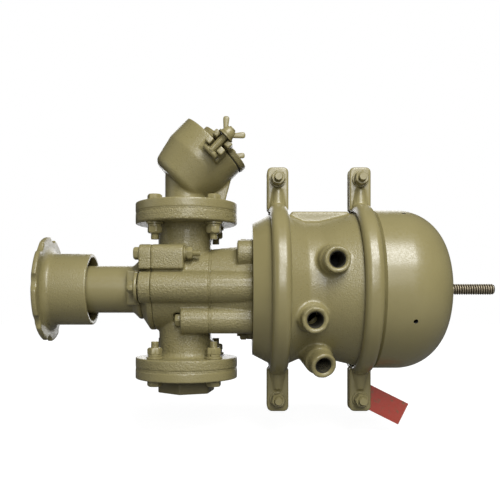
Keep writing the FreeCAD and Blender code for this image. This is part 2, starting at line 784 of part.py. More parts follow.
def is_tip(edge, turn, corner, length):
    """A test for the two outer edges across a wing's thickness."""
    way = turn.multVec(Vector(0, 0, 1))
    across = turn.multVec(Vector(0, 1, 0))
    start = Vector(*[float(value) for value in corner])
    ends = [vertex.Point for vertex in edge.Vertexes]
    far = all(abs((end - start).dot(way) - length) < 0.01 for end in ends)
    return far and abs(abs((ends[1] - ends[0]).normalize().dot(across)) - 1) < 1e-6


def build_metering_end():
    """The bonnet, stem, metering sleeve and handwheel on the left."""
    length = d.bonnet_tip + bonnet_face
    plate_at = bonnet_face - d.bonnet_flange
    solids = [rod(d.bonnet_radius, length, (-d.bonnet_tip, 0, 0)),
              rod(d.bonnet_flange_radius, d.bonnet_flange, (plate_at, 0, 0)),
              taper(d.bonnet_radius, d.bonnet_flange_radius, 6.5, (plate_at - 6.5, 0, 0)),
              block(d.bonnet_shoulder, d.bonnet_shoulder_half * 2, d.bonnet_shoulder_height,
                    (bonnet_face - d.bonnet_shoulder, -d.bonnet_shoulder_half,
                     d.bonnet_shoulder_height * -0.5 + 1.0)),
              block(d.bonnet_flange, d.side_rib_offset * 2, (d.side_rib_radius - 0.6) * 2,
                    (plate_at, -d.side_rib_offset, -d.side_rib_radius + 2.1))]
    for side in (-1, 1):
        solids.append(rod(d.side_rib_radius - 0.6, d.bonnet_flange,
                          (plate_at, d.side_rib_offset * side, d.side_bolt_height)))
    hole = d.small_bolt_radius + d.gap_clearance
    cutters = [rod(d.bonnet_radius - d.bonnet_wall, length, (-d.bonnet_tip, 0, 0))]
    for side in (-1, 1):
        cutters.append(rod(hole, d.bonnet_flange, side_bolt(side, plate_at)))
    keep("bonnet", minus(plus(solids), cutters))
    keep("bonnet_gasket", ring(d.bonnet_flange_radius - 1.0, sleeve_bore, d.gasket_thickness,
                               (bonnet_face, 0, 0)))
    screws, bolts, nuts = [], [], []
    for side in (-1, 1):
        reach = ring_joint + 16.0 - plate_at
        screws.append(hex_bolt(side_bolt(side, plate_at), (1, 0, 0), reach, ALONG_X, True))
        reach = d.bolt_lug_end + small_nut_stack + 7.0 - body_face
        bolts.append(hex_bolt(upper_bolt(side, body_face), (1, 0, 0), reach, ALONG_X, True))
        nuts += nut_and_washer(upper_bolt(side, d.bolt_lug_end), (1, 0, 0), ALONG_X, True)
    group("bonnet_screws", screws)
    group("ring_bolts", bolts)
    group("ring_nuts", nuts)
    bush_radius = d.bonnet_radius - d.bonnet_wall
    bore = d.stem_radius + d.running_clearance
    keep("stem_bush", ring(bush_radius, bore, d.bush_length, (-d.bonnet_tip, 0, 0)))
    keep("stem_seal", ring(bush_radius, bore, 4.0, (-d.bonnet_tip + d.bush_length, 0, 0)))
    sleeve_length = d.parting_plane + 5.0 - body_face
    sleeve = rod(d.sleeve_radius, sleeve_length, (body_face, 0, 0))
    bore_in = rod(d.sleeve_radius - d.sleeve_wall, sleeve_length, (body_face, 0, 0))
    window = rod(d.passage_radius, d.sleeve_radius * 2, (0, 0, -d.sleeve_radius), ALONG_Z)
    keep("metering_sleeve", minus(sleeve, [bore_in, window]))
    collar_radius = d.bonnet_radius - d.bonnet_wall - 1.0
    keep("sleeve_carrier", turned([
        (stem_end - d.carrier_step, d.stem_radius + d.running_clearance),
        (stem_end - d.carrier_step, collar_radius), (body_face, collar_radius),
        (body_face, d.sleeve_radius - d.sleeve_wall),
        (body_face + plug_length, d.sleeve_radius - d.sleeve_wall),
        (body_face + plug_length, d.stem_flange_radius + 2.0),
        (body_face, d.stem_flange_radius + 2.0), (body_face, d.stem_flange_radius + 0.4),
        (stem_end, d.stem_flange_radius + 0.4), (stem_end, d.stem_radius + d.running_clearance)]))
    keep("metering_stem", turned([
        (-(d.wheel_left + 10.0), 0), (-(d.wheel_left + 10.0), d.stem_radius),
        (stem_end + d.gap_clearance, d.stem_radius),
        (stem_end + d.gap_clearance, d.stem_flange_radius),
        (body_face - d.gap_clearance, d.stem_flange_radius), (body_face - d.gap_clearance, 0)]))
    build_handwheel()


def build_handwheel():
    """The scalloped handwheel with its skirt, and the nut that holds it on the stem."""
    left = -d.wheel_left
    inner = d.skirt_radius - d.skirt_wall
    solid = turned([
        (left, d.stem_radius), (left, d.wheel_radius - 4.0), (left + 1.5, d.wheel_radius),
        (left + d.wheel_rim, d.wheel_radius), (left + d.wheel_rim, d.skirt_radius + 6.0),
        (left + d.wheel_rim + 1.8, d.skirt_radius + 2.4), (left + d.wheel_rim + 5.0, d.skirt_radius),
        (skirt_right, d.skirt_radius), (skirt_right, inner),
        (left + d.wheel_rim, inner), (left + d.wheel_rim, d.stem_radius)])
    cutters = []
    for number in range(int(float(d.wheel_notches))):
        angle = number * 360.0 / float(d.wheel_notches) + 7.0
        across, height = around_x(d.wheel_radius - d.notch_depth + d.notch_radius, angle)
        cutters.append(rod(d.notch_radius, d.wheel_rim, (left, across, height)))
    keep("handwheel", minus(solid, cutters))
    nut = hexagon(24.0, 8.0, (left - 8.0, 0, 0))
    keep("handwheel_nut", minus(nut, [rod(d.stem_radius, 8.0, (left - 8.0, 0, 0))]))


def build_plunger():
    """The shut-off plunger, its rod and the push plate in the service chamber."""
    nose = -d.plunger_nose
    tail = nose + stroke
    keep("shutoff_plunger", turned([
        (nose, 0), (nose, plunger_radius - 2.0), (nose + 2.0, plunger_radius),
        (tail, plunger_radius), (tail, d.rod_radius), (tail - 12.0, d.rod_radius), (tail - 12.0, 0)]))
    keep("push_rod", rod(d.rod_radius, plate_left + 1.5 - (tail - 12.0), (tail - 12.0, 0, 0)))
    keep("push_plate", turned([
        (plate_left, d.rod_radius), (plate_left, plate_radius - 4.0), (plate_left + 1.5, plate_radius),
        (service_disc_left, plate_radius), (service_disc_left, 0), (plate_left + 1.5, 0),
        (plate_left + 1.5, d.rod_radius)]))
    keep("rod_bush", ring(12.0, rod_bore, 10.0, (d.chamber_front - 5.0, 0, 0)))


def dished_lip(at, forward):
    """The two faces of a clamped lip, from the joint plane towards its own housing."""
    step = 1 if forward else -1
    near = at + d.bead_thickness / 2 * step
    return near, near + d.lip_thickness * step


def build_chambers():
    """The service housing, centre housing and spring dome, with diaphragms between them."""
    wall = d.chamber_wall
    lip_inner = clamp_lip - d.lip_seat
    front_near, front_far = dished_lip(d.front_clamp, False)
    keep("service_housing", turned([
        (d.chamber_front, 12.0), (d.chamber_front, shoulder_radius),
        (front_far, clamp_lip - 2.5), (front_far + 1.0, clamp_lip),
        (front_near, clamp_lip), (front_near, lip_inner),
        (front_far - 1.0, lip_inner),
        (d.chamber_front + wall, shoulder_radius - 3.0), (d.chamber_front + wall, 12.0)]))
    left_near, left_far = dished_lip(d.front_clamp, True)
    right_near, right_far = dished_lip(d.rear_clamp, False)
    shell = turned([
        (left_near, lip_inner), (left_near, clamp_lip), (left_far, clamp_lip),
        (left_far, clamp_lip - 2.0),
        (d.waist_along - 12.0, waist_radius), (d.waist_along + 2.0, waist_radius),
        (right_far, clamp_lip - 2.0), (right_far, clamp_lip),
        (right_near, clamp_lip), (right_near, lip_inner),
        (right_far, lip_inner), (centre_wall_right, waist_radius - 9.0),
        (centre_wall_right, d.rod_radius + 3.0), (centre_wall_left, d.rod_radius + 3.0),
        (centre_wall_left, waist_radius - 12.0), (left_far, lip_inner)])
    rib_left = d.front_clamp + d.clamp_half_width + 4.0
    rib = block(d.rear_clamp - d.clamp_half_width - 4.0 - rib_left, 30.0,
                clamp_lip - 1.5 - (waist_radius - 4.0), (rib_left, -15.0, waist_radius - 4.0))
    solids, cutters = [shell, rib], []
    for number, (along, angle, aim) in enumerate(PORTS):
        low = number == 2
        depth = low_port_depth if low else port_depth
        across, height = around_x(low_port_reach if low else d.port_reach, angle)
        tip = (as_size(along), across, height)
        way = Vector(*aim).normalize()
        turn = Rotation(Vector(0, 0, 1), way)
        root = behind(tip, way, depth)
        solids.append(rod(d.port_boss_radius, depth, root, turn))
        solids.append(rod(d.port_collar_radius, depth - d.port_collar_setback, root, turn))
        cutters.append(rod(d.port_radius, depth, behind(tip, way, depth - 2.0), turn))
        cutters.append(taper(d.port_radius, d.port_radius + 2.0, 2.1, behind(tip, way, 2.0), turn))
    hollow = turned([
        (left_near, 0), (left_near, lip_inner), (left_far, lip_inner),
        (centre_wall_left, waist_radius - 12.0), (centre_wall_left, 0)])
    hollow_right = turned([
        (centre_wall_right, 0), (centre_wall_right, waist_radius - 9.0),
        (right_far, lip_inner), (right_near, lip_inner), (right_near, 0)])
    keep("centre_housing", minus(plus(solids), [hollow, hollow_right] + cutters))
    keep("centre_bush", ring(d.rod_radius + 3.0, rod_bore, d.centre_wall, (centre_wall_left, 0, 0)))
    build_dome()
    bead, thick = d.bead_thickness / 2, d.bead_thickness - 0.1
    hold = lip_inner - 0.7
    for name, clamp, face, plate, core in (
            ("service_diaphragm", d.front_clamp, service_disc_left + 0.1, plate_radius, 0),
            ("emergency_diaphragm", d.rear_clamp, emergency_disc_left + 0.1, piston_radius,
             d.rod_radius + 0.1)):
        keep(name, turned([
            (clamp - bead, clamp_lip - 0.5), (clamp - bead, hold), (face, plate + 3.8),
            (face, core), (face + thick, core), (face + thick, plate + 1.0),
            (clamp + bead, hold - 2.8), (clamp + bead, clamp_lip - 0.5)]))


def dome_profile(inset):
    """The knuckle and crown arcs of the dome's end, inset by the wall for its inside."""
    start, end, knuckle = float(d.dome_start), float(d.dome_end), float(dome_knuckle)
    rise = float(dome_radius) - knuckle
    spare = end - knuckle - start
    behind = (rise * rise - spare * spare) / (2 * spare)
    crown = end - start + behind
    tangent = math.atan2(rise, behind)
    hole = math.asin((float(d.release_bolt_radius) + 2.4) / (crown - inset))

    def on_knuckle(angle):
        reach = knuckle - inset
        return Vector(start + reach * math.cos(angle), 0, rise + reach * math.sin(angle))

    def on_crown(angle):
        reach = crown - inset
        return Vector(start - behind + reach * math.cos(angle), 0, reach * math.sin(angle))

    bend = Part.Arc(on_knuckle(math.pi / 2), on_knuckle((math.pi / 2 + tangent) / 2),
                    on_knuckle(tangent)).toShape()
    cap = Part.Arc(on_knuckle(tangent), on_crown((tangent + hole) / 2), on_crown(hole)).toShape()
    return [bend, cap], on_crown(hole)


def build_dome():
    """The spring housing: a drawn cup with a rounded end, a bolt hole and vent holes."""
    near, far = dished_lip(d.rear_clamp, True)
    wall, radius = float(d.chamber_wall), float(dome_radius)
    start, lip, joint = float(d.dome_start), float(clamp_lip), float(near)
    groove = float(d.rear_clamp + d.clamp_half_width + d.gap_clearance)
    flare = groove + 2.5
    seat = float(d.lip_seat)
    outside, rim_out = dome_profile(0.0)
    inside, rim_in = dome_profile(wall)
    corners = [(joint, lip - seat), (joint, lip), (float(far), lip), (float(far), lip - 2.0),
               (groove, lip - 2.0), (flare, radius), (start, radius)]
    back = [(start, radius - wall), (flare, radius - wall), (joint, lip - seat)]
    edges = outside + inside + [Part.LineSegment(rim_out, rim_in).toShape()]
    for chain in (corners, back):
        for first, second in zip(chain, chain[1:]):
            edges.append(Part.LineSegment(Vector(first[0], 0, first[1]),
                                          Vector(second[0], 0, second[1])).toShape())
    face = Part.Face(Part.Wire(Part.__sortEdges__(edges)))
    cup = face.revolve(Vector(0, 0, 0), Vector(1, 0, 0), 360)
    for angle in VENT_ANGLES:
        turn = math.radians(angle)
        way = Vector(0, -math.cos(turn), math.sin(turn))
        spot = Vector(float(d.vent_along), 0, 0) + way * (radius - 3 * wall)
        cup = cup.cut(Part.makeCylinder(float(d.vent_radius), 6 * wall, spot, way))
    made = doc.addObject("Part::Feature", "Dome")
    made.Shape = cup
    keep("spring_housing", made)


def build_clamps():
    """The two split clamp bands, their bolts and nuts, and the plain tag."""
    bolts, nuts = [], []
    for name, centre in (("front", d.front_clamp), ("rear", d.rear_clamp)):
        half, outer = d.clamp_half_width, d.clamp_radius
        inner = clamp_lip + d.gap_clearance
        throat = clamp_lip - 1.2
        band = turned([
            (centre - half, throat + 0.3), (centre - half, outer - 5.0),
            (centre - half + 2.0, outer - 1.6), (centre - half + 5.0, outer),
            (centre + half - 5.0, outer), (centre + half - 2.0, outer - 1.6),
            (centre + half, outer - 5.0), (centre + half, throat + 0.3),
            (centre + band_lip_room, throat + 0.3), (centre + band_lip_room, inner),
            (centre - band_lip_room, inner), (centre - band_lip_room, throat + 0.3)])
        doc.recompute()
        for side, side_name in ((-1, "near"), (1, "far")):
            low = -outer - 5.0 if side < 0 else d.clamp_split
            half_room = block(half * 2 + 2.0, outer + 5.0 - d.clamp_split, outer * 2 + 10.0,
                              (centre - half - 1.0, low, -outer - 5.0))
            solids = [overlap(band, half_room)]
            inner_face = -(d.clamp_split + d.ear_thickness) if side < 0 else d.clamp_split
            for level in (-1, 1):
                start = outer - 6.0 if level > 0 else -ear_top
                ear = block(half * 2 + 4.0, d.ear_thickness, ear_top - outer + 6.0,
                            (centre - half - 2.0, inner_face, start))
                solids.append(rounded(ear, 5.0, lambda edge, sign=level: is_ear_corner(edge, sign)))
                solids.append(ear_ridge(centre, side, level))
            holes = [rod(d.bolt_hole_radius, d.ear_thickness,
                         (centre, inner_face, ear_bolt_height * level), ALONG_Y)
                     for level in (-1, 1)]
            keep("%s_clamp_%s" % (name, side_name), minus(plus(solids), holes))
        back = d.clamp_split + d.ear_thickness
        for level in (-1, 1):
            at = (centre, back, ear_bolt_height * level)
            near_turn = Rotation(Vector(1, 0, 0), 90)
            reach = back * 2 + nut_stack + d.bolt_tip
            bolts.append(hex_bolt(at, (0, -1, 0), reach, near_turn))
            seat = (centre, -back, ear_bolt_height * level)
            nuts += nut_and_washer(seat, (0, -1, 0), near_turn)
    group("clamp_bolts", bolts)
    group("clamp_nuts", nuts)
    build_tag()


def ear_ridge(centre, side, level):
    """The end of the band's round back, running out on the ear towards the bolt."""
    foot, tip = d.clamp_radius - 6.0, ear_bolt_height - d.washer_radius - 1.2
    middle = (d.clamp_split + 3.5) * side
    radii = (d.ear_ridge_radius, d.ear_ridge_tip)
    start = (centre, middle, foot)
    if level < 0:
        radii = radii[::-1]
        start = (centre, middle, -tip)
    ridge = taper(radii[0], radii[1], tip - foot, start, ALONG_Z)
    depth = d.ear_ridge_radius + 4.0
    low = (d.clamp_split + depth) * -1.0 if side < 0 else d.clamp_split
    room = block(d.ear_ridge_radius * 2 + 2.0, depth, tip - foot,
                 (centre - d.ear_ridge_radius - 1.0, low, foot if level > 0 else -tip))
    return overlap(ridge, room)


def is_ear_corner(edge, sign):
    """A test for the outer corners of a clamp ear, which run across its thickness."""
    ends = [vertex.Point for vertex in edge.Vertexes]
    across = abs((ends[1] - ends[0]).normalize().dot(Vector(0, 1, 0))) > 0.999
    return across and abs(abs(ends[0].z) - float(ear_top)) < 0.01 and ends[0].z * sign > 0


def build_tag():
    """A plain tag held on the lower rear clamp bolt, between the two ears."""
    turn = Rotation(Vector(0, 1, 0), TAG_SLOPE)
    corner = turn.multVec(Vector(-7.0, 0, -6.5))
    at = (d.rear_clamp + corner.x, d.clamp_split - d.tag_thickness, -ear_bolt_height + corner.z)
    plate = block(d.tag_length, d.tag_thickness, d.tag_width, at, turn)
    hole = rod(d.bolt_hole_radius, d.tag_thickness,
               (d.rear_clamp, d.clamp_split - d.tag_thickness, -ear_bolt_height), ALONG_Y)
    keep("tag_plate", minus(plate, [hole]))


def build_actuator_inside():
    """The spring piston with its rod, the release bolt and both springs."""
    socket = d.release_bolt_radius + d.socket_room
    wall = socket + d.socket_wall
    mouth = d.release_bolt_radius + d.gap_clearance
    end, floor = piston_right + d.socket_length, piston_right + d.socket_floor
    key = d.cross_radius + d.gap_clearance + 0.2
    reach = socket - 0.4
    keep("spring_piston", minus(turned([
        (piston_left, 0), (piston_left, piston_radius), (piston_right, piston_radius),
        (piston_right, wall), (end, wall), (end, mouth), (floor, mouth), (floor, socket),
        (piston_right, socket), (piston_right, 0)]), [
            block(end - floor + 0.5, reach * 2, key * 2, (floor - 0.2, -reach, -key))]))
    keep("parking_rod", rod(d.rod_radius, piston_left - parking_rod_left, (parking_rod_left, 0, 0)))
    shank_left = piston_right + d.gap_clearance
    shank = rod(d.release_bolt_radius, d.release_bolt_tip - shank_left, (shank_left, 0, 0))
    arm = socket - 0.8
    cross = rod(d.cross_radius, arm * 2, (shank_left + d.socket_floor / 2, 0, -arm), ALONG_Z)
    keep("release_bolt", plus([shank, cross]))
    keep("power_spring", wound(power_coil_radius, power_coil_radius, d.power_wire,
                               piston_right, power_spring_end, d.power_turns))
    inside = d.chamber_front + d.chamber_wall
    keep("return_spring", wound(d.return_start_radius, d.return_end_radius, d.return_wire,
                                inside, plate_left - d.gap_clearance, d.return_turns))


def build_studs():
    """The two studs and nuts that hold the service housing on the adapter."""
    studs, nuts = [], []
    foot = d.chamber_front - d.stud_seat
    reach = d.nut_height + d.stud_end
    for level in (-1, 1):
        height = d.stud_height * level
        studs.append(rod(d.bolt_radius, d.stud_seat + reach, (foot - reach, 0, height)))
        nut_at = (foot - d.nut_height, 0, height)
        nut = hexagon(d.bolt_head_flats, d.nut_height, nut_at)
        nuts.append(minus(nut, [rod(d.bolt_radius, d.nut_height, nut_at)]))
    group("chamber_studs", studs)
    group("chamber_nuts", nuts)


def check_and_write():
    """Stops on any failed object, then writes each piece to its own file."""
    doc.recompute()
    for thing in doc.Objects:
        if "Invalid" in thing.State or "Error" in thing.State:
            raise RuntimeError("%s (%s) failed: %s" % (thing.Name, thing.Label, thing.State))
    os.makedirs("parts", exist_ok=True)
    for name, thing in shapes.items():
        shape = thing.Shape
        if shape.isNull() or not shape.isValid() or not shape.Solids:
            raise RuntimeError("%s has no valid solid" % name)
        shape.exportStep(os.path.join("parts", "%s.step" % name))
        print("%-22s %2d solids %10.0f mm3" % (name, len(shape.Solids), shape.Volume))


build_valve_body()
build_adapter()
build_outlet()
build_inlet_head()
build_cover()
build_metering_end()
build_plunger()
build_chambers()
build_clamps()
build_actuator_inside()
build_studs()
check_and_write()
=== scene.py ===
"""Looks for the pneumatic sandblast metering valve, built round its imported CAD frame."""

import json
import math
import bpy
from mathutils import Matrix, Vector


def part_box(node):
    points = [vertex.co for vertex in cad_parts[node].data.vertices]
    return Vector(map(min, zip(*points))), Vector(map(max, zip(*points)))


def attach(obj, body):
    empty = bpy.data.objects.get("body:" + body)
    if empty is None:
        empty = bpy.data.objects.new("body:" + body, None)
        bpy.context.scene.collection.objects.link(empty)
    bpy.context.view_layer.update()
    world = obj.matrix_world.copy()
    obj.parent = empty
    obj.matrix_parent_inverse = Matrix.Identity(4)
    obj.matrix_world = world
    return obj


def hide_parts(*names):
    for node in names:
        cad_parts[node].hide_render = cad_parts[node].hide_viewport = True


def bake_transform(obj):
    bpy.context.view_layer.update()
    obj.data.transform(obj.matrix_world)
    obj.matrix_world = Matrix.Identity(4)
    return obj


bl_info = {
    "name": "Sandblast metering valve",
    "version": (1, 0, 0),
    "blender": (4, 5, 0),
    "location": "3D View > Sidebar > Valve",
    "description": "Painted castings, threaded fasteners and studio for the metering valve",
    "category": "Object",
}

import bmesh
import bpy
import numpy as np
from mathutils import Vector

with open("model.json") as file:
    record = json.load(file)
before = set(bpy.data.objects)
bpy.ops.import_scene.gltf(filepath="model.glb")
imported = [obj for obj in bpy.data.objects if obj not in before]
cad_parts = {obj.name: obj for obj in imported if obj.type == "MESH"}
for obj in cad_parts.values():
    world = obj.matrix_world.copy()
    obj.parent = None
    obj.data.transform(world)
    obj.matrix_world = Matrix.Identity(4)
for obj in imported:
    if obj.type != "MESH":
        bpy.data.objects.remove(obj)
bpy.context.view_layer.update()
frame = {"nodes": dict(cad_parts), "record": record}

MM = 0.001
SLOPE = math.sqrt(0.5)
X_AXIS = np.array([1.0, 0.0, 0.0])
Y_AXIS = np.array([0.0, 1.0, 0.0])
Z_AXIS = np.array([0.0, 0.0, 1.0])

# Sizes of the valve in millimetres, as its CAD source has them
NECK_RADIUS, NECK_TOP, NECK_BOTTOM = 28.0, 66.0, 69.0
FLANGE_RADIUS, FLANGE_THICKNESS, BOLT_CIRCLE = 52.0, 11.0, 41.0
FLANGE_RIM = FLANGE_RADIUS - 0.25
HEAD_FLANGE_TOP, OUTLET_FLANGE_BASE = 87.5, -90.5
CLAMPS = (93.5, 177.5)
EAR_FACE, EAR_BOLT_HEIGHT = 8.0, 112.0
BODY_FACE, BONNET_PLATE, LUG_END = -43.0, -47.3, 0.5
UPPER_BOLT = (35.5, 34.5)
SIDE_BOLT = (45.5, 1.5)
BOSS_OFFSET, PARTING_PLANE, CHAMBER_FRONT = 30.5, 25.0, 67.5
STUD_HEIGHT, STUD_SEAT, STUD_TIP = 44.5, 6.0, 3.0
WHEEL_FACE = -145.0
VENT_PLACE, VENT_RADIUS, DOME_RADIUS, DOME_WALL = 216.0, 2.2, 80.5, 4.0
VENT_ANGLES = (-22.5, 67.5, 157.5, 247.5)
MOUTH, COVER_OFFSET, SWING_REACH = np.array([28.0, 0.0, 148.0]), 10.0, 43.5
ALONG_MOUTH = np.array([SLOPE, 0.0, -SLOPE])
OUT_OF_MOUTH = np.array([SLOPE, 0.0, SLOPE])
PIN_DEPTH, STICK_OUT, WING_BASE = 11.86, 18.5, 9.4
RELEASE_RADIUS = 5.6
PORTS = ((143.5, 17.0, 88.0, (0.10, -0.995, 0.0)),
         (123.5, -19.5, 88.0, (0.08, -0.99, -0.10)),
         (134.3, -51.8, 93.7, (0.22, -0.92, -0.32)))

# Sizes that this scene adds, in millimetres
SHANK_CLEARANCE, TIP_START, FLANGE_TIP, RING_TIP = 0.5, 1.5, 6.0, 7.0
SCREW_REACH, ADAPTER_HEAD, ADAPTER_REACH = 32.3, -3.0, 49.0
LEG_HALF, LEG_DEPTH, LEG_SWELL, LEG_SPLIT = 9.6, 4.6, 9.4, 3.3
LEG_FOOT, LEG_SHORTFALL = 79.5, 9.2
GROOVE_DEPTH, GROOVE_HALF, EDGE_ROUND, RIB_CLEARANCE = 0.25, 0.15, 0.5, 27.0
GASKET_BORE, GASKET_THICK, PARTING_BORE, PARTING_THICK = 21.0, 2.5, 26.0, 2.4
LINER_WALL, LINER_INSET, SEAM_HALF, PIN_CHAMFER = 0.8, 2.2, 0.55, 0.6
WING_LENGTH, WING_WIDTH, WING_THICK, WING_LEAN = 14.3, 6.6, 3.4, math.radians(42.0)
WING_HEIGHT, WING_OFFSET, WHEEL_NUT_FLATS, HEXAGON_DROP = 2.6, 3.4, 24.0, 0.4
VENT_PLAY, VENT_WALL, VENT_INSET = 0.03, 0.25, 0.3
RELEASE_DEPTH, CROSS_PLACE, ROOT_DARK_DEPTH, CREST_DARK_DEPTH = 1.0, 5.0, 0.85, 0.15
LUG_OFFSET, BODY_EDGE, LUG_EDGE, BOSS_EDGE = 37.0, 41.3, 15.3, 13.3
GASKET_SHEET, GASKET_DROP, PARTING_LEAD = 1.0, 0.75, 0.7
SEAM_SWAY, SEAM_WAVE, SEAM_PLACE, SEAM_SINK = 0.25, 0.35, 0.8, 0.1
# Radius of each mould seam, and the heights where it begins and ends
SEAM_RUNS = ((NECK_RADIUS, 44.0, 65.0), (FLANGE_RIM, 66.6, 76.4),
             (NECK_RADIUS, -67.5, -41.0), (FLANGE_RIM, -79.4, -69.6))
# Length, radius, pitch and depth of a port's thread; length, radius and end radius of a pin,
# with no length for the cross head, which is as long as its node
PORT_THREAD = (26.0, 7.75, 1.4, 0.75)
SWING_PIN = (16.8, 2.8, 2.2)
CROSS_PIN = (3.0, 2.3)
# Profiles as (place along the axis, radius)
WING_BORE = 4.0
WING_HUB = ((0.0, WING_BORE), (0.0, 6.7), (0.5, 7.2), (2.2, 6.7), (6.9, 5.9), (7.5, 5.3),
            (7.5, WING_BORE), (0.0, WING_BORE))
WHEEL_NUT = ((0.0, 8.0), (0.0, 12.6), (0.6, 13.9), (6.6, 13.9), (8.0, 11.6), (8.0, 9.4),
             (7.0, 8.0), (0.0, 8.0))
STUD_LUG = ((0.0, 0.0), (0.0, 6.3), (0.8, 7.0), (STUD_SEAT, 7.0), (STUD_SEAT, 0.0))

# Shares of a hexagon's half width, then small steps in millimetres; pitches of thread run out
CONE_CORNER, SEAT_SHARE, TOP_SHARE, CROWN_SHARE = 1.16, 0.97, 0.93, 0.9
CHAMFER, HEAD_FOOT, HEAD_DIP, NUT_FOOT, NUT_MOUTH, NUT_SINK = 1.3, 0.35, 0.15, 0.3, 0.7, 0.6
WASHER_EDGE, SLIT_CLEARANCE, SLIT_HALF = 0.35, 0.1, math.radians(6.0)
THREAD_RUNOUT = 0.6
# Degrees over which an edge stays sharp, on fasteners and on rounded pieces
SHARP, SHARP_ROUNDED = 34.0, 50.0

# Studio, in metres: where the camera stands along X and Z, what the lamps look at, and how
# far the floor reaches and fades
CAMERA_X, CAMERA_Z, CAMERA_SHIFT = 0.055, -0.011, (0.02, 0.10)
LAMP_AIM, FLOOR_REACH, FLOOR_ROWS, FLOOR_FADE = (0.06, 0.0, 0.02), 3.0, 9, (0.25, 0.9)


class Fastener:
    """Sizes of one family of hexagon bolts, in millimetres."""

    def __init__(self, radius, flats, head, nut, plain, lock, plain_radius, lock_radius, pitch):
        self.radius, self.flats, self.head, self.nut = radius, flats, head, nut
        self.plain, self.lock = plain, lock
        self.plain_radius, self.lock_radius, self.pitch = plain_radius, lock_radius, pitch

    def stack(self):
        """Height of both washers and the nut."""
        return self.plain + self.lock + self.nut


LARGE = Fastener(3.9, 13.0, 5.6, 6.6, 2.2, 2.4, 8.4, 6.8, 1.25)
SMALL = Fastener(3.1, 11.2, 5.6, 5.4, 1.5, 1.6, 7.0, 5.3, 1.1)
BARE = Fastener(3.9, 13.0, 5.6, 6.6, 0.0, 0.0, 8.4, 6.8, 1.25)


def real(name, description, low, high, value, **more):
    """A setting that holds one number."""
    return bpy.props.FloatProperty(name=name, description=description, min=low, max=high,
                                   default=value, **more)


def metres(*values):
    """A setting that holds a length in metres."""
    return real(*values, unit="LENGTH")


def rgb(name, description, value):
    """A setting that holds a colour."""
    return bpy.props.FloatVectorProperty(name=name, description=description, subtype="COLOR",
                                         size=3, min=0.0, max=1.0, default=value)


class ValvePaint(bpy.types.PropertyGroup):
    """Colours and finish of the coats."""

    khaki: rgb("Khaki paint", "Colour of the enamel on every casting and fastener",
               (0.232, 0.201, 0.090))
    tag_red: rgb("Tag red", "Colour of the tag under the rear clamp bolt", (0.39, 0.050, 0.034))
    gloss: real("Paint roughness", "Mean roughness of the enamel", 0.05, 1.0, 0.35)
    grain: metres("Cast grain", "Size of the sand grain left on the castings",
                  0.0005, 0.01, 0.0017)


class ValveShape(bpy.types.PropertyGroup):
    """Sizes of the pieces that the scene adds."""

    cast_round: metres("Cast edge step", "Voxel size that rounds the edges of the castings",
                       0.0004, 0.003, 0.0009)
    thread_depth: metres("Thread depth", "Depth of the painted threads on the bolt tips",
                         0.0001, 0.001, 0.00042)
    seam_height: metres("Mould seam", "Height of the seam that the mould halves leave",
                        0.0001, 0.001, 0.0003)
    release_pitch: metres("Release bolt pitch", "Thread pitch of the release bolt",
                          0.001, 0.003, 0.0024)


class ValveStage(bpy.types.PropertyGroup):
    """Camera and studio."""

    lens: real("Lens", "Focal length on a 36 mm sensor", 20.0, 200.0, 46.1)
    distance: metres("Camera distance", "Distance from the camera to the plunger axis",
                     0.3, 3.0, 0.660)
    floor_drop: metres("Floor height", "How far the floor lies below the plunger axis",
                       0.1, 0.6, 0.150)
    key_power: real("Key light", "Power of the soft light above the camera", 0.0, 100.0, 22.5,
                    subtype="POWER")
    fill: real("Sky fill", "Strength of the even light from all round", 0.0, 2.0, 0.10)
    floor_tone: real("Floor tone", "Share of the light that the floor sends back",
                     0.0, 1.0, 0.22)
    floor_glow: real("Floor glow", "White that the camera sees added to the floor",
                     0.0, 1.0, 0.92)


def settings():
    """The three groups of settings on the scene."""
    scene = bpy.context.scene
    return scene.valve_paint, scene.valve_shape, scene.valve_stage


def thread_depth():
    """Depth of the painted threads in millimetres."""
    return settings()[1].thread_depth / MM


# Surfaces

def frame_of(axis):
    """An axis at unit length and two unit vectors across it, the second being the axis
    crossed with the first."""
    axis = np.asarray(axis, float) / np.linalg.norm(axis)
    helper = Z_AXIS if abs(axis[2]) < 0.9 else X_AXIS
    first = np.cross(helper, axis)
    first /= np.linalg.norm(first)
    return axis, first, np.cross(axis, first)


def stitch(rows, columns, closed=True):
    """Quads of a grid whose corner (i, j) joins (i, j+1) and (i+1, j). The columns run round
    unless the grid is left open."""
    row = np.arange(rows - 1)[:, None] * columns
    count = columns if closed else columns - 1
    column = np.arange(count)[None, :]
    following = (column + 1) % columns
    quads = np.stack([row + column, row + following, row + columns + following,
                      row + columns + column], axis=-1)
    return quads.reshape(-1, 4)


def circle(count):
    """Angles spread evenly over a turn."""
    return np.linspace(0.0, 2 * np.pi, count, endpoint=False)


def swept(origin, axis, along, radii, angle):
    """Points o + a axis + r (u cos t + v sin t), with a row of radii for each place a."""
    axis, across, over = frame_of(axis)
    ring = across[None, :] * np.cos(angle)[:, None] + over[None, :] * np.sin(angle)[:, None]
    points = (np.asarray(origin, float) + along[:, None, None] * axis
              + radii[:, :, None] * ring[None, :, :])
    return points.reshape(-1, 3)


def capped(points, first, last, rows, columns):
    """A grid whose columns run round, with a fan of triangles to a point at each end."""
    around, end = np.arange(columns), (rows - 1) * columns
    following = (around + 1) % columns
    low = np.stack([np.full(columns, len(points)), following, around], axis=-1)
    high = np.stack([np.full(columns, len(points) + 1), end + around, end + following], axis=-1)
    return (np.concatenate([points, first, last]), stitch(rows, columns),
            np.concatenate([low, high]))


def squared(value, power):
    """A sine or cosine raised to a power, with its sign kept."""
    return np.sign(value) * np.abs(value) ** power


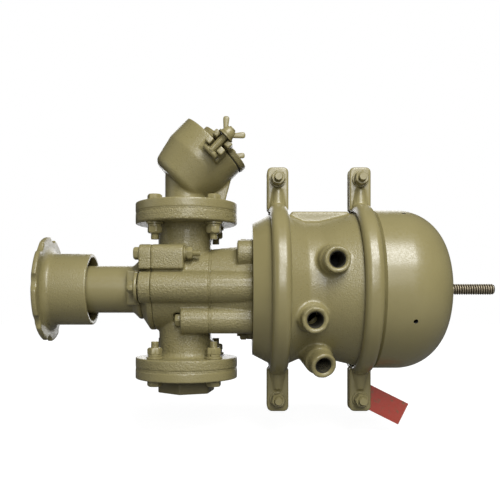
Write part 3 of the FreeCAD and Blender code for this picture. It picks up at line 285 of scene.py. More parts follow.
def turned(profile, origin, axis, flats=None, segments=48, phase=0.0, slit=None):
    """A surface of revolution. A point is origin + a axis + r (u cos t + v sin t), with (a, r)
    from the profile, and r held inside a polygon where flats gives its width across flats.
    A slit (radius, angle, half width) lets the ring fall to that radius over a short arc."""
    profile = np.asarray(profile, float)
    angle = circle(segments)
    radius = np.repeat(profile[:, 1:2], segments, axis=1)
    if flats is not None:
        half = np.pi / 6
        wall = (flats / 2) / np.cos((angle + phase) % (2 * half) - half)
        radius = np.minimum(radius, wall[None, :])
    if slit is not None:
        apart = np.abs((angle - slit[1] + np.pi) % (2 * np.pi) - np.pi)
        radius = np.where(apart[None, :] < slit[2], np.minimum(radius, slit[0]), radius)
    return swept(origin, axis, profile[:, 0], radius, angle), stitch(len(profile), segments)


def pin(origin, axis, length, radius, end):
    """A round pin with both ends chamfered to a smaller radius."""
    profile = [(0.0, 0.0), (0.0, end), (PIN_CHAMFER, radius), (length - PIN_CHAMFER, radius),
               (length, end), (length, 0.0)]
    return turned(profile, origin, axis, segments=24)


def threaded(origin, axis, length, radius, pitch, depth, segments=24, steps=6):
    """A screw thread. The radius is r - depth * w, where w is a rounded triangle wave of
    a / pitch - t / turn along the bar, fading to the root near both ends."""
    rows = max(4, int(length / pitch * steps))
    along = np.linspace(0.0, length, rows + 1)
    angle = circle(segments)
    wave = (along[:, None] / pitch - angle[None, :] / (2 * np.pi)) % 1.0
    wave = 0.5 - 0.5 * np.cos(2 * np.pi * wave)
    fade = np.minimum(along, length - along) / (pitch * THREAD_RUNOUT)
    radii = radius - depth * (1.0 - np.clip(fade, 0.0, 1.0)[:, None] * (1.0 - wave))
    first = np.asarray(origin, float)[None, :]
    last = first + frame_of(axis)[0] * length
    return capped(swept(origin, axis, along, radii, angle), first, last, rows + 1, segments)


def bolt_head(seat, axis, kind, phase=0.0):
    """A hexagon head over its seat, its outer corners cut by a cone of 30 degrees."""
    half, top = kind.flats / 2, kind.head
    corner = half * CONE_CORNER
    profile = [(0.0, 0.0), (0.0, half * SEAT_SHARE), (HEAD_FOOT, corner),
               (top - CHAMFER, corner), (top, half * TOP_SHARE), (top, half * CROWN_SHARE),
               (top - HEAD_DIP, 0.0)]
    return turned(profile, seat, axis, kind.flats, segments=72, phase=phase)


def hex_nut(seat, axis, kind, phase=0.0):
    """A hexagon nut on its washers, chamfered at its outer end, with a countersunk mouth."""
    half, start, top = kind.flats / 2, kind.plain + kind.lock, kind.stack()
    corner, bore = half * CONE_CORNER, kind.radius - NUT_SINK
    profile = [(start, bore), (start, half * SEAT_SHARE), (start + NUT_FOOT, corner),
               (top - CHAMFER, corner), (top, half * TOP_SHARE), (top, kind.radius + NUT_MOUTH),
               (top - NUT_SINK, bore)]
    return turned(profile, seat, axis, kind.flats, segments=72, phase=phase)


def washers(seat, axis, kind, turn=0.0):
    """A plain washer, and a lock washer on it with its slit."""
    def section(low, high, radius):
        core, edge = kind.radius - SHANK_CLEARANCE, WASHER_EDGE
        return [(low, core), (low, radius - edge), (low + edge, radius), (high - edge, radius),
                (high, radius - edge), (high, core)]

    gap = (kind.radius + SLIT_CLEARANCE, turn, SLIT_HALF)
    lock = section(kind.plain, kind.plain + kind.lock, kind.lock_radius)
    return [turned(section(0.0, kind.plain, kind.plain_radius), seat, axis),
            turned(lock, seat, axis, segments=72, slit=gap)]


def bolt_tip(seat, axis, kind, past):
    """The threaded end of a bolt, from inside its nut to a length past it."""
    start, reach = kind.stack() - TIP_START, kind.stack() + past
    return threaded(seat + axis * start, axis, reach - start, kind.radius, kind.pitch,
                    thread_depth())


def shank(seat, axis, kind, reach):
    """The plain stretch of a bolt, just under the root of its thread."""
    radius = kind.radius - SHANK_CLEARANCE
    return turned([(0.0, 0.0), (0.0, radius), (reach, radius), (reach, 0.0)], seat, axis,
                  segments=16)


def wing(root, axis, side):
    """One wing of a wing nut: rings of |x|^2.5 + |y|^2.5 = 1 whose half width grows as
    w (0.62 + 0.38 s) and closes at both ends, set along a way that leans from the axis."""
    axis, across, over = frame_of(axis)
    way = axis * math.cos(WING_LEAN) + side * math.sin(WING_LEAN)
    flat = np.cross(over if abs(np.dot(over, side)) < 0.5 else across, way)
    normal = np.cross(way, flat)
    share = 0.5 - 0.5 * np.cos(np.linspace(0.0, np.pi, 22))
    angle = circle(24)
    close = np.power(np.clip(1.0 - np.abs(2 * share - 1.0) ** 7, 0.0, 1.0), 0.5)
    half = WING_WIDTH / 2 * (0.62 + 0.38 * share) * close
    deep = WING_THICK / 2 * (1.0 - 0.25 * share) * close
    points = (root + (WING_LENGTH * share)[:, None, None] * way
              + (half[:, None] * squared(np.cos(angle), 0.8)[None, :])[:, :, None] * flat
              + (deep[:, None] * squared(np.sin(angle), 0.8)[None, :])[:, :, None] * normal)
    return points.reshape(-1, 3), stitch(len(share), len(angle))


def thread_liner(origin, axis, length, radius, pitch, depth):
    """A thin sleeve with a thread inside. Its section runs out along the outer wall and back
    along the bore, whose radius is r - depth (0.5 + 0.5 cos 2 pi (a / pitch - t / turn))."""
    along = np.concatenate([[0.0, length], np.linspace(length, 0.0, int(length / pitch * 6))])
    angle = circle(36)
    wave = 0.5 + 0.5 * np.cos(2 * np.pi * (along[:, None] / pitch - angle[None, :] / (2 * np.pi)))
    radii = radius - depth * wave
    radii[:2] = radius + LINER_WALL
    quads = stitch(len(along) + 1, len(angle)) % radii.size
    return swept(origin, axis, along, radii, angle), quads


def seam(path, outward, half, height):
    """A low ridge along a path: each section is an ellipse, w cos t to the side and h sin t
    outwards."""
    path = np.asarray(path, float)
    outward = np.asarray(outward, float)
    tangent = np.gradient(path, axis=0)
    tangent /= np.linalg.norm(tangent, axis=1, keepdims=True)
    side = np.cross(tangent, outward)
    side /= np.linalg.norm(side, axis=1, keepdims=True)
    angle = circle(12)
    points = (path[:, None, :] + half * np.cos(angle)[None, :, None] * side[:, None, :]
              + height * np.sin(angle)[None, :, None] * outward[:, None, :])
    return capped(points.reshape(-1, 3), path[:1], path[-1:], len(path), len(angle))


def clamp_leg(centre, side, level, foot, tip):
    """The round back of a clamp band running out on its ear. At a share s of the way a section
    has half width w (1 - 0.26 s) sqrt(1 - s^14) and depth d + e (1 - s^0.8)^1.3 behind the ear,
    a rounded arch of |x|^2.4 + |y|^2.4 = 1, closed on the split plane."""
    share = np.linspace(0.0, 1.0, 26)
    angle = np.linspace(0.0, np.pi, 25)
    half = LEG_HALF * (1.0 - 0.26 * share) * np.sqrt(np.clip(1.0 - share ** 14, 0.0, 1.0))
    deep = LEG_DEPTH + LEG_SWELL * (1.0 - share ** 0.8) ** 1.3
    x = centre + half[:, None] * squared(np.cos(angle), 0.83)[None, :]
    y = side * (LEG_SPLIT + deep[:, None] * squared(np.sin(angle), 0.83)[None, :])
    z = level * np.broadcast_to((foot + (tip - foot) * share)[:, None], x.shape)
    split = np.full_like(x[:, :1], side * LEG_SPLIT)
    points = np.stack([np.concatenate([x[:, :1], x, x[:, -1:]], axis=1),
                       np.concatenate([split, y, split], axis=1),
                       np.concatenate([z[:, :1], z, z[:, -1:]], axis=1)], axis=-1)
    rows, columns = points.shape[:2]
    ring = np.arange(columns)
    return (points.reshape(-1, 3), stitch(rows, columns), ring[None, ::-1],
            (ring + (rows - 1) * columns)[None, :])


def grooved(inner, radius, thick):
    """Profile of a painted joint: rounded edges, a thin groove in its middle, and closed on
    itself where it has a bore."""
    middle, edge = thick / 2, radius - EDGE_ROUND
    profile = [(0.0, inner), (0.0, edge), (EDGE_ROUND, radius), (middle - GROOVE_HALF, radius),
               (middle, radius - GROOVE_DEPTH), (middle + GROOVE_HALF, radius),
               (thick - EDGE_ROUND, radius), (thick, edge), (thick, inner)]
    return profile + profile[:1] if inner else profile


# Objects

def mouth_point(along, across, out):
    """A point given along the head's slope, across it and out of it."""
    return MOUTH + along * ALONG_MOUTH + across * Y_AXIS + out * OUT_OF_MOUTH


def add_object(name, data):
    """A new object, linked to the scene."""
    made = bpy.data.objects.new(name, data)
    bpy.context.scene.collection.objects.link(made)
    return made


def make_piece(name, parts):
    """One mesh object from several (points in mm, quads, triangles) parts."""
    points, faces, shift = [], [], 0
    for part in parts:
        points.append(np.asarray(part[0], float) * MM)
        for block in part[1:]:
            if len(block):
                faces += (np.asarray(block) + shift).tolist()
        shift += len(part[0])
    mesh = bpy.data.meshes.new(name)
    mesh.from_pydata(np.concatenate(points).tolist(), [], faces)
    tidy(mesh)
    mesh.polygons.foreach_set("use_smooth", np.ones(len(mesh.polygons), bool))
    return add_object(name, mesh)


def tidy(mesh):
    """Merges doubles and turns every face outwards."""
    work = bmesh.new()
    work.from_mesh(mesh)
    bmesh.ops.remove_doubles(work, verts=work.verts, dist=2e-6)
    bmesh.ops.recalc_face_normals(work, faces=work.faces)
    work.to_mesh(mesh)
    work.free()
    mesh.update()


def keep_sharp(piece, degrees=SHARP):
    """Marks edges sharper than an angle, so flats and chamfers stay crisp."""
    work = bmesh.new()
    work.from_mesh(piece.data)
    limit = math.radians(degrees)
    for edge in work.edges:
        edge.smooth = len(edge.link_faces) == 2 and edge.calc_face_angle(0.0) < limit
    work.to_mesh(piece.data)
    work.free()


def cast_copy(name, step, passes):
    """A copy of a CAD solid with its edges rounded as sand casting leaves them: the merged
    solid is turned into an even skin of the given step, then relaxed towards its neighbours."""
    mesh = frame["nodes"][name].data.copy()
    mesh.materials.clear()
    tidy(mesh)
    source = add_object(name + "_work", mesh)
    skin = source.modifiers.new("skin", "REMESH")
    skin.mode = "VOXEL"
    skin.voxel_size = step
    skin.use_smooth_shade = True
    relax = source.modifiers.new("relax", "SMOOTH")
    relax.factor = 0.5
    relax.iterations = passes
    bpy.context.view_layer.update()
    evaluated = source.evaluated_get(bpy.context.evaluated_depsgraph_get())
    finished = bpy.data.meshes.new_from_object(evaluated)
    finished.name = name + "_skin"
    bpy.data.objects.remove(source)
    finished.polygons.foreach_set("use_smooth", np.ones(len(finished.polygons), bool))
    return add_object(name + "_skin", finished)


def hold(piece, node, body, material):
    """Puts a piece in the place of a CAD node."""
    piece.data.materials.clear()
    piece.data.materials.append(material)
    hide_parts(node)
    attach(piece, body)


def add_to_valve(piece, material):
    """Puts a piece that stands for no CAD node on the valve's body."""
    piece.data.materials.append(material)
    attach(piece, "valve")


# Finishes

def node(tree, kind, **values):
    """Adds a shader node and sets its properties and inputs."""
    made = tree.nodes.new(kind)
    for key, value in values.items():
        if key in made.inputs.keys():
            made.inputs[key].default_value = value
        else:
            setattr(made, key, value)
    return made


def combined(tree, operation, first, second, **values):
    """A maths node on a socket and on a second socket or number."""
    made = node(tree, "ShaderNodeMath", operation=operation, **values)
    tree.links.new(first, made.inputs[0])
    if isinstance(second, float):
        made.inputs[1].default_value = second
    else:
        tree.links.new(second, made.inputs[1])
    return made.outputs["Value"]


def ranged(tree, value, low, high, start=0.0, end=1.0):
    """A socket's value taken from one range to another, and held inside it."""
    made = node(tree, "ShaderNodeMapRange",
                **{"From Min": low, "From Max": high, "To Min": start, "To Max": end})
    tree.links.new(value, made.inputs["Value"])
    return made.outputs["Result"]


def coat_group():
    """Enamel over metal: tone drifts slowly, the grain darkens its pits and gives height, and
    roughness follows a fine orange peel."""
    tree = bpy.data.node_groups.get("Enamel coat")
    if tree:
        return tree
    tree = bpy.data.node_groups.new("Enamel coat", "ShaderNodeTree")
    for way, name, kind, default in (
            ("INPUT", "Vector", "Vector", None),
            ("INPUT", "Colour", "Color", (0.5, 0.5, 0.5, 1.0)),
            ("INPUT", "Shade", "Color", (0.2, 0.2, 0.2, 1.0)),
            ("INPUT", "Grain per metre", "Float", 500.0),
            ("INPUT", "Grain amount", "Float", 0.5), ("INPUT", "Roughness", "Float", 0.4),
            ("OUTPUT", "Colour", "Color", None), ("OUTPUT", "Roughness", "Float", None),
            ("OUTPUT", "Height", "Float", None)):
        made = tree.interface.new_socket(name=name, in_out=way, socket_type="NodeSocket" + kind)
        if default is not None:
            made.default_value = default
    given = tree.nodes.new("NodeGroupInput").outputs
    sent = tree.nodes.new("NodeGroupOutput").inputs
    link = tree.links.new
    grain = node(tree, "ShaderNodeTexNoise", Detail=3.0, Roughness=0.6)
    link(given["Grain per metre"], grain.inputs["Scale"])
    drift = node(tree, "ShaderNodeTexNoise", Scale=14.0, Detail=3.0, Roughness=0.55)
    peel = node(tree, "ShaderNodeTexNoise", Scale=420.0, Detail=1.0)
    for texture in (drift, grain, peel):
        link(given["Vector"], texture.inputs["Vector"])
    drift, grain, peel = (texture.outputs["Fac"] for texture in (drift, grain, peel))
    pits = combined(tree, "MULTIPLY", ranged(tree, grain, 0.30, 0.42, 0.30, 0.0),
                    given["Grain amount"])
    tone = ranged(tree, drift, 0.3, 0.75, 0.0, 0.34)
    mix = node(tree, "ShaderNodeMix", data_type="RGBA")
    link(combined(tree, "ADD", tone, pits, use_clamp=True), mix.inputs["Factor"])
    link(given["Colour"], mix.inputs["A"])
    link(given["Shade"], mix.inputs["B"])
    link(mix.outputs["Result"], sent["Colour"])
    rough = ranged(tree, peel, 0.3, 0.7, -0.05, 0.09)
    link(combined(tree, "ADD", rough, given["Roughness"], use_clamp=True), sent["Roughness"])
    coarse = combined(tree, "MULTIPLY", grain, given["Grain amount"])
    link(combined(tree, "ADD", coarse, combined(tree, "MULTIPLY", peel, 0.12)), sent["Height"])
    return tree


def coated(name, colour, shade, grain, amount, roughness, relief=0.0004, metallic=0.0, coat=0.0):
    """A material built on the enamel coat group."""
    material = bpy.data.materials.get(name)
    if material:
        return material
    material = bpy.data.materials.new(name)
    material.use_nodes = True
    tree = material.node_tree
    shader = tree.nodes["Principled BSDF"]
    place = node(tree, "ShaderNodeTexCoord")
    enamel = node(tree, "ShaderNodeGroup", node_tree=coat_group(), Colour=(*colour, 1.0),
                  Shade=(*shade, 1.0), Roughness=roughness,
                  **{"Grain per metre": 1.0 / grain, "Grain amount": amount})
    bump = node(tree, "ShaderNodeBump", Strength=1.0, Distance=relief)
    link = tree.links.new
    link(place.outputs["Object"], enamel.inputs["Vector"])
    link(enamel.outputs["Colour"], shader.inputs["Base Color"])
    link(enamel.outputs["Roughness"], shader.inputs["Roughness"])
    link(enamel.outputs["Height"], bump.inputs["Height"])
    link(bump.outputs["Normal"], shader.inputs["Normal"])
    for key, value in (("Metallic", metallic), ("Coat Weight", coat), ("Coat Roughness", 0.18)):
        shader.inputs[key].default_value = value
    return material


def darker_thread_roots(material, root, crest, dark):
    """Darkens a thread round the X axis: the share of the coat's colour rises with the
    distance from the axis, from the root radius to the crest radius, all in metres."""
    tree = material.node_tree
    if "Root to crest" in tree.nodes:
        return
    link = tree.links.new
    place = node(tree, "ShaderNodeTexCoord")
    flat = node(tree, "ShaderNodeVectorMath", operation="MULTIPLY")
    flat.inputs[1].default_value = (0.0, 1.0, 1.0)
    away = node(tree, "ShaderNodeVectorMath", operation="LENGTH")
    mix = node(tree, "ShaderNodeMix", data_type="RGBA", name="Root to crest")
    mix.inputs["A"].default_value = (*dark, 1.0)
    shader = tree.nodes["Principled BSDF"]
    colour = shader.inputs["Base Color"].links[0].from_socket
    link(place.outputs["Object"], flat.inputs[0])
    link(flat.outputs["Vector"], away.inputs[0])
    link(ranged(tree, away.outputs["Value"], root, crest), mix.inputs["Factor"])
    link(colour, mix.inputs["B"])
    link(mix.outputs["Result"], shader.inputs["Base Color"])


def darker(colour, share):
    """A colour scaled towards black."""
    return tuple(value * share for value in colour)


def finishes():
    """Every finish on the valve, made once."""
    paint, _, _ = settings()
    khaki, grain, gloss = tuple(paint.khaki), paint.grain, paint.gloss
    shade = (khaki[0] * 0.55, khaki[1] * 0.52, khaki[2] * 0.42)
    dark, black = darker(khaki, 0.62), (0.012, 0.012, 0.011)
    coats = {
        "cast": ("Khaki enamel on the body castings", khaki, shade, grain, 0.85,
                 gloss - 0.02, 0.0013, 0.0, 0.22),
        "fine": ("Khaki enamel on the finer castings", khaki, shade, grain * 0.8, 0.6,
                 gloss - 0.03, 0.0006, 0.0, 0.22),
        "smooth": ("Khaki enamel on pressed shells", khaki, shade, grain * 1.6, 0.10,
                   gloss - 0.02, 0.0002, 0.0, 0.16),
        "fastener": ("Khaki enamel on fasteners", khaki, shade, grain, 0.25,
                     gloss + 0.02, 0.0002, 0.0, 0.05),
        # Darker khaki on the outlet hexagon under the flange: painted shade
        "hexagon_shade": ("Dark khaki on the outlet hexagon", dark, shade, grain, 0.5,
                   gloss + 0.08, 0.0003),
        # Near-black liner colour in the port mouths: painted shade
        "shadowed": ("Painted shade in the port threads", darker(khaki, 0.08), darker(khaki, 0.04),
                     0.002, 0.5, 0.85, 0.0002),
        "gasket": ("Painted gasket edge", dark, darker(khaki, 0.35), 0.002, 0.4, 0.6, 0.0002),
        "rubber": ("Black rubber", black, (0.03, 0.03, 0.028), 0.002, 0.3, 0.75, 0.0002),
        "steel": ("Bare steel", (0.30, 0.28, 0.25), (0.10, 0.075, 0.05), 0.0025, 0.35, 0.34,
                  0.00015, 0.9),
        "bolt": ("Tarnished release bolt", (0.48, 0.42, 0.30), (0.16, 0.11, 0.05), 0.003, 0.4,
                 0.40, 0.0001, 0.7),
        "bronze": ("Turned bronze", (0.42, 0.25, 0.09), (0.20, 0.11, 0.04), 0.002, 0.3, 0.33,
                   0.0001, 0.9),
        "tag": ("Red tag enamel", tuple(paint.tag_red), (0.20, 0.09, 0.05), 0.006, 2.6, 0.36,
                0.0001, 0.0, 0.25),
    }
    made = {key: coated(*row) for key, row in coats.items()}
    # The release bolt's thread is darker towards its roots
    darker_thread_roots(made["bolt"], (RELEASE_RADIUS - ROOT_DARK_DEPTH) * MM,
                 (RELEASE_RADIUS - CREST_DARK_DEPTH) * MM, (0.022, 0.015, 0.009))
    return made


SLOT_FINISH = {"olive_paint": "fastener", "black_rubber": "rubber", "bare_steel": "steel",
               "bronze": "bronze", "red_tag": "tag"}
CAST_NODES = {"valve_body": 6, "end_ring": 6, "body_adapter": 6, "inlet_head": 7,
              "centre_housing": 10, "outlet_flange": 3, "bonnet": 4, "handhole_cover": 5,
              "handwheel": 5, "front_clamp_near": 12, "front_clamp_far": 12,
              "rear_clamp_near": 12, "rear_clamp_far": 12}
COARSER_SKIN = {"centre_housing": 1.42, "valve_body": 1.22}
PRESSED_NODES = ("service_housing", "spring_housing", "bonnet", "front_clamp_near",
                 "front_clamp_far", "rear_clamp_near", "rear_clamp_far")
FINE_NODES = ("inlet_head", "centre_housing", "outlet_flange", "handwheel")
GASKET_NODES = ("inlet_gasket", "outlet_gasket", "parting_gasket", "bonnet_gasket")
NODE_FINISH = {**dict.fromkeys(CAST_NODES, "cast"), **dict.fromkeys(FINE_NODES, "fine"),
               **dict.fromkeys(PRESSED_NODES, "smooth"), **dict.fromkeys(GASKET_NODES, "gasket")}


# Operators

def finish_fasteners(name, parts):
    """Makes a set of fasteners, as bolt_set from bolts, and puts it in place of its CAD node."""
    piece = make_piece(name[:-1] + "_set", parts)
    keep_sharp(piece)
    hold(piece, name, "valve", finishes()["fastener"])


class VALVE_OT_finishes(bpy.types.Operator):
    """Gives every CAD node its procedural finish"""

    bl_idname = "valve.finishes"
    bl_label = "Finish the CAD pieces"

    def execute(self, context):
        coats = finishes()
        for part in frame["record"]["subparts"]:
            name, slot = part["node"], part["material_slot"]
            mesh = frame["nodes"][name].data
            mesh.materials.clear()
            mesh.materials.append(coats[NODE_FINISH.get(name, SLOT_FINISH[slot])])
        return {"FINISHED"}


class VALVE_OT_castings(bpy.types.Operator):
    """Rounds the edges of the castings as foundry sand leaves them"""

    bl_idname = "valve.castings"
    bl_label = "Round the castings"

    def execute(self, context):
        coats = finishes()
        _, shape, _ = settings()
        for name, passes in CAST_NODES.items():
            body = "wheel" if name == "handwheel" else "valve"
            step = shape.cast_round * COARSER_SKIN.get(name, 1.0)
            hold(cast_copy(name, step, passes), name, body,
                 coats[NODE_FINISH[name]])
        # The outlet hexagon takes a darker khaki as painted shade
        self.darken_hexagon(coats["hexagon_shade"])
        return {"FINISHED"}

    def darken_hexagon(self, finish):
        """Faces of the outlet flange below its disc, which are the hexagon, take a darker khaki
        as painted shade.
        """
        mesh = bpy.data.objects["outlet_flange_skin"].data
        mesh.materials.append(finish)
        centres = np.empty(len(mesh.polygons) * 3, np.float32)
        mesh.polygons.foreach_get("center", centres)
        below = centres.reshape(-1, 3)[:, 2] < (OUTLET_FLANGE_BASE - HEXAGON_DROP) * MM
        mesh.polygons.foreach_set("material_index", below.astype(np.int32))


class VALVE_OT_release_bolt(bpy.types.Operator):
    """Cuts the thread of the spring release bolt, with its cross head in the socket"""

    bl_idname = "valve.release_bolt"
    bl_label = "Thread the release bolt"

    def execute(self, context):
        _, shape, _ = settings()
        low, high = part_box("release_bolt")
        start, end = low.x / MM, high.x / MM
        reach = -low.z / MM
        parts = [threaded((start, 0, 0), X_AXIS, end - start, RELEASE_RADIUS,
                          shape.release_pitch / MM, RELEASE_DEPTH, segments=32, steps=8),
                 pin((start + CROSS_PLACE, 0, -reach), Z_AXIS, 2 * reach, *CROSS_PIN)]
        piece = make_piece("release_bolt_thread", parts)
        hold(piece, "release_bolt", "release", finishes()["bolt"])
        return {"FINISHED"}


class VALVE_OT_flange_fasteners(bpy.types.Operator):
    """Makes the bolts, washers and nuts of both flanges"""

    bl_idname = "valve.flange_fasteners"
    bl_label = "Fit the flange fasteners"

    def execute(self, context):
        sets = (("inlet", HEAD_FLANGE_TOP, NECK_TOP, -1.0),
                ("outlet", OUTLET_FLANGE_BASE, -NECK_BOTTOM, 1.0))
        for name, head_at, nut_at, way in sets:
            axis = Z_AXIS * way
            bolts, nuts = [], []
            for number in range(4):
                turn = math.radians(45.0 + 90.0 * number)
                place = BOLT_CIRCLE * np.array([math.cos(turn), math.sin(turn), 0.0])
                phase = math.radians(13.0 * number + 8.0)
                top, seat = place + Z_AXIS * head_at, place + Z_AXIS * nut_at
                bolts.append(bolt_head(top, -axis, LARGE, phase))
                bolts.append(shank(top, axis, LARGE, abs(head_at - nut_at) + LARGE.stack()))
                bolts.append(bolt_tip(seat, axis, LARGE, FLANGE_TIP))
                nuts += washers(seat, axis, LARGE, turn + 2.2 * number)
                nuts.append(hex_nut(seat, axis, LARGE, phase * 2.3))
            finish_fasteners(name + "_bolts", bolts)
            finish_fasteners(name + "_nuts", nuts)
        return {"FINISHED"}


class VALVE_OT_body_fasteners(bpy.types.Operator):
    """Makes the bolts and nuts of the end ring, the bonnet and the adapter"""

    bl_idname = "valve.body_fasteners"
    bl_label = "Fit the body fasteners"

    def execute(self, context):
        bolts, nuts, screws, adapter = [], [], [], []
        for side in (-1.0, 1.0):
            place = np.array([0.0, UPPER_BOLT[0] * side, UPPER_BOLT[1]])
            start, seat = place + X_AXIS * BODY_FACE, place + X_AXIS * LUG_END
            bolts += [bolt_head(start, -X_AXIS, SMALL, 0.3 * side),
                      shank(start, X_AXIS, SMALL, LUG_END - BODY_FACE + SMALL.stack()),
                      bolt_tip(seat, X_AXIS, SMALL, RING_TIP)]
            nuts += washers(seat, X_AXIS, SMALL, side) + [hex_nut(seat, X_AXIS, SMALL, 0.2)]
            head = np.array([BONNET_PLATE, SIDE_BOLT[0] * side, SIDE_BOLT[1]])
            screws += [bolt_head(head, -X_AXIS, SMALL, 0.5),
                       shank(head, X_AXIS, SMALL, SCREW_REACH)]
            head = np.array([ADAPTER_HEAD, BOSS_OFFSET * side, -BOSS_OFFSET])
            adapter += [bolt_head(head, -X_AXIS, SMALL, 0.1),
                        shank(head, X_AXIS, SMALL, ADAPTER_REACH)]
        finish_fasteners("ring_bolts", bolts)
        finish_fasteners("ring_nuts", nuts)
        finish_fasteners("bonnet_screws", screws)
        finish_fasteners("adapter_bolts", adapter)
        return {"FINISHED"}


class VALVE_OT_clamp_fasteners(bpy.types.Operator):
    """Makes the bolts, washers and nuts of the two clamp bands"""

    bl_idname = "valve.clamp_fasteners"
    bl_label = "Fit the clamp fasteners"

    def execute(self, context):
        bolts, nuts = [], []
        for number, centre in enumerate(CLAMPS):
            for level in (-1.0, 1.0):
                place = np.array([centre, 0.0, EAR_BOLT_HEIGHT * level])
                back, seat = place + Y_AXIS * EAR_FACE, place - Y_AXIS * EAR_FACE
                phase = 0.4 * number + 0.25 * level
                bolts += [bolt_head(back, Y_AXIS, LARGE, phase),
                          shank(back, -Y_AXIS, LARGE, EAR_FACE * 2 + LARGE.stack()),
                          bolt_tip(seat, -Y_AXIS, LARGE, FLANGE_TIP)]
                nuts += washers(seat, -Y_AXIS, LARGE, phase * 5)
                nuts.append(hex_nut(seat, -Y_AXIS, LARGE, phase))
        finish_fasteners("clamp_bolts", bolts)
        finish_fasteners("clamp_nuts", nuts)
        legs = [clamp_leg(centre, side, level, LEG_FOOT, EAR_BOLT_HEIGHT - LEG_SHORTFALL)
                for centre in CLAMPS for side in (-1.0, 1.0) for level in (-1.0, 1.0)]
        piece = make_piece("clamp_legs", legs)
        keep_sharp(piece, SHARP_ROUNDED)
        add_to_valve(piece, finishes()["smooth"])
        return {"FINISHED"}


class VALVE_OT_wing_nuts(bpy.types.Operator):
    """Shapes the two wing nuts and threads their swing bolts"""

    bl_idname = "valve.wing_nuts"
    bl_label = "Shape the wing nuts"

    def execute(self, context):
        coat = finishes()["fastener"]
        for side, name in ((-1.0, "near"), (1.0, "far")):
            base = mouth_point(COVER_OFFSET, SWING_REACH * side, WING_BASE)
            parts = [turned(WING_HUB, base, OUT_OF_MOUTH)]
            for lean in (-1.0, 1.0):
                root = base + OUT_OF_MOUTH * WING_HEIGHT + ALONG_MOUTH * lean * WING_OFFSET
                parts.append(wing(root, OUT_OF_MOUTH, ALONG_MOUTH * lean))
            piece = make_piece(name + "_wing_nut_cast", parts)
            hold(piece, name + "_wing_nut", name + "_nut", coat)
            foot = mouth_point(COVER_OFFSET, SWING_REACH * side, -PIN_DEPTH)
            parts = [threaded(foot, OUT_OF_MOUTH, STICK_OUT + PIN_DEPTH, LARGE.radius,
                              LARGE.pitch, thread_depth()),
                     pin(foot - ALONG_MOUTH * SWING_PIN[0] / 2, ALONG_MOUTH, *SWING_PIN)]
            piece = make_piece(name + "_swing_bolt_thread", parts)
            hold(piece, name + "_swing_bolt", name + "_swing", coat)
        return {"FINISHED"}


class VALVE_OT_stud_fasteners(bpy.types.Operator):
    """Makes the studs of the chamber with their nuts and lugs, and the nut of the handwheel"""

    bl_idname = "valve.stud_fasteners"
    bl_label = "Fit the studs and the wheel nut"

    def execute(self, context):
        studs, nuts, lugs = [], [], []
        for side in (-1.0, 1.0):
            seat = np.array([CHAMBER_FRONT - STUD_SEAT, 0.0, STUD_HEIGHT * side])
            studs += [shank(seat + X_AXIS * STUD_SEAT, -X_AXIS, BARE, STUD_SEAT + BARE.stack()),
                      bolt_tip(seat, -X_AXIS, BARE, STUD_TIP)]
            nuts.append(hex_nut(seat, -X_AXIS, BARE, 0.35))
            lugs.append(turned(STUD_LUG, seat, X_AXIS))
        finish_fasteners("chamber_studs", studs)
        finish_fasteners("chamber_nuts", nuts)
        piece = make_piece("stud_lugs", lugs)
        keep_sharp(piece, SHARP_ROUNDED)
        add_to_valve(piece, finishes()["cast"])
        nut = turned(WHEEL_NUT, X_AXIS * WHEEL_FACE, -X_AXIS, WHEEL_NUT_FLATS, segments=72,
                     phase=0.2)
        piece = make_piece("handwheel_nut_forged", [nut])
        keep_sharp(piece)
        hold(piece, "handwheel_nut", "wheel", finishes()["fastener"])
        return {"FINISHED"}


class VALVE_OT_vent_liners(bpy.types.Operator):
    """Lines the vent holes of the spring housing with black sleeves, painted shade inside the
    holes
    """

    bl_idname = "valve.vent_liners"
    bl_label = "Line the vents"

    def execute(self, context):
        parts = []
        outer, inner = VENT_RADIUS - VENT_PLAY, VENT_RADIUS - VENT_WALL
        section = [(-DOME_WALL, inner), (-DOME_WALL, outer), (-VENT_INSET, outer),
                   (-VENT_INSET, inner), (-DOME_WALL, inner)]
        for angle in VENT_ANGLES:
            turn = math.radians(angle)
            way = np.array([0.0, -math.cos(turn), math.sin(turn)])
            mouth = X_AXIS * VENT_PLACE + way * DOME_RADIUS
            parts.append(turned(section, mouth, way, segments=24))
        # Black rubber finish on the sleeves: painted shade in the vent holes
        add_to_valve(make_piece("vent_shade_liners", parts), finishes()["rubber"])
        return {"FINISHED"}


class VALVE_OT_flexing_pieces(bpy.types.Operator):
    """Copies the springs and diaphragms, with their finishes, in place of their CAD nodes"""

    bl_idname = "valve.flexing_pieces"
    bl_label = "Flex the springs and diaphragms"

    def execute(self, context):
        coats = finishes()
        for name, slot, first, second, rim in (
                ("power_spring", "bare_steel", "piston", "valve", None),
                ("return_spring", "bare_steel", "valve", "plunger", None),
                ("service_diaphragm", "black_rubber", "valve", "plunger", CLAMPS[0]),
                ("emergency_diaphragm", "black_rubber", "valve", "piston", CLAMPS[1])):
            mesh = frame["nodes"][name].data.copy()
            mesh.name = name + "_flexing"
            tidy(mesh)
            mesh.materials.clear()
            mesh.materials.append(coats[SLOT_FINISH[slot]])
            piece = add_object(name + "_flexing", mesh)
            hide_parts(name)
            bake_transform(piece)
        return {"FINISHED"}


class VALVE_OT_port_threads(bpy.types.Operator):
    """Cuts a pipe thread in the mouth of each air port, on a near-black liner that stands as
    painted shade inside the port
    """

    bl_idname = "valve.port_threads"
    bl_label = "Thread the air ports"

    def execute(self, context):
        for number, (along, angle, reach, aim) in enumerate(PORTS, start=1):
            turn = math.radians(angle)
            tip = np.array([along, -reach * math.cos(turn), reach * math.sin(turn)])
            way = np.asarray(aim) / np.linalg.norm(aim)
            liner = thread_liner(tip - way * LINER_INSET, -way, *PORT_THREAD)
            piece = make_piece("air_port_thread_%d" % number, [liner])
            # The liner's near-black finish is painted shade inside the port
            add_to_valve(piece, finishes()["shadowed"])
        return {"FINISHED"}


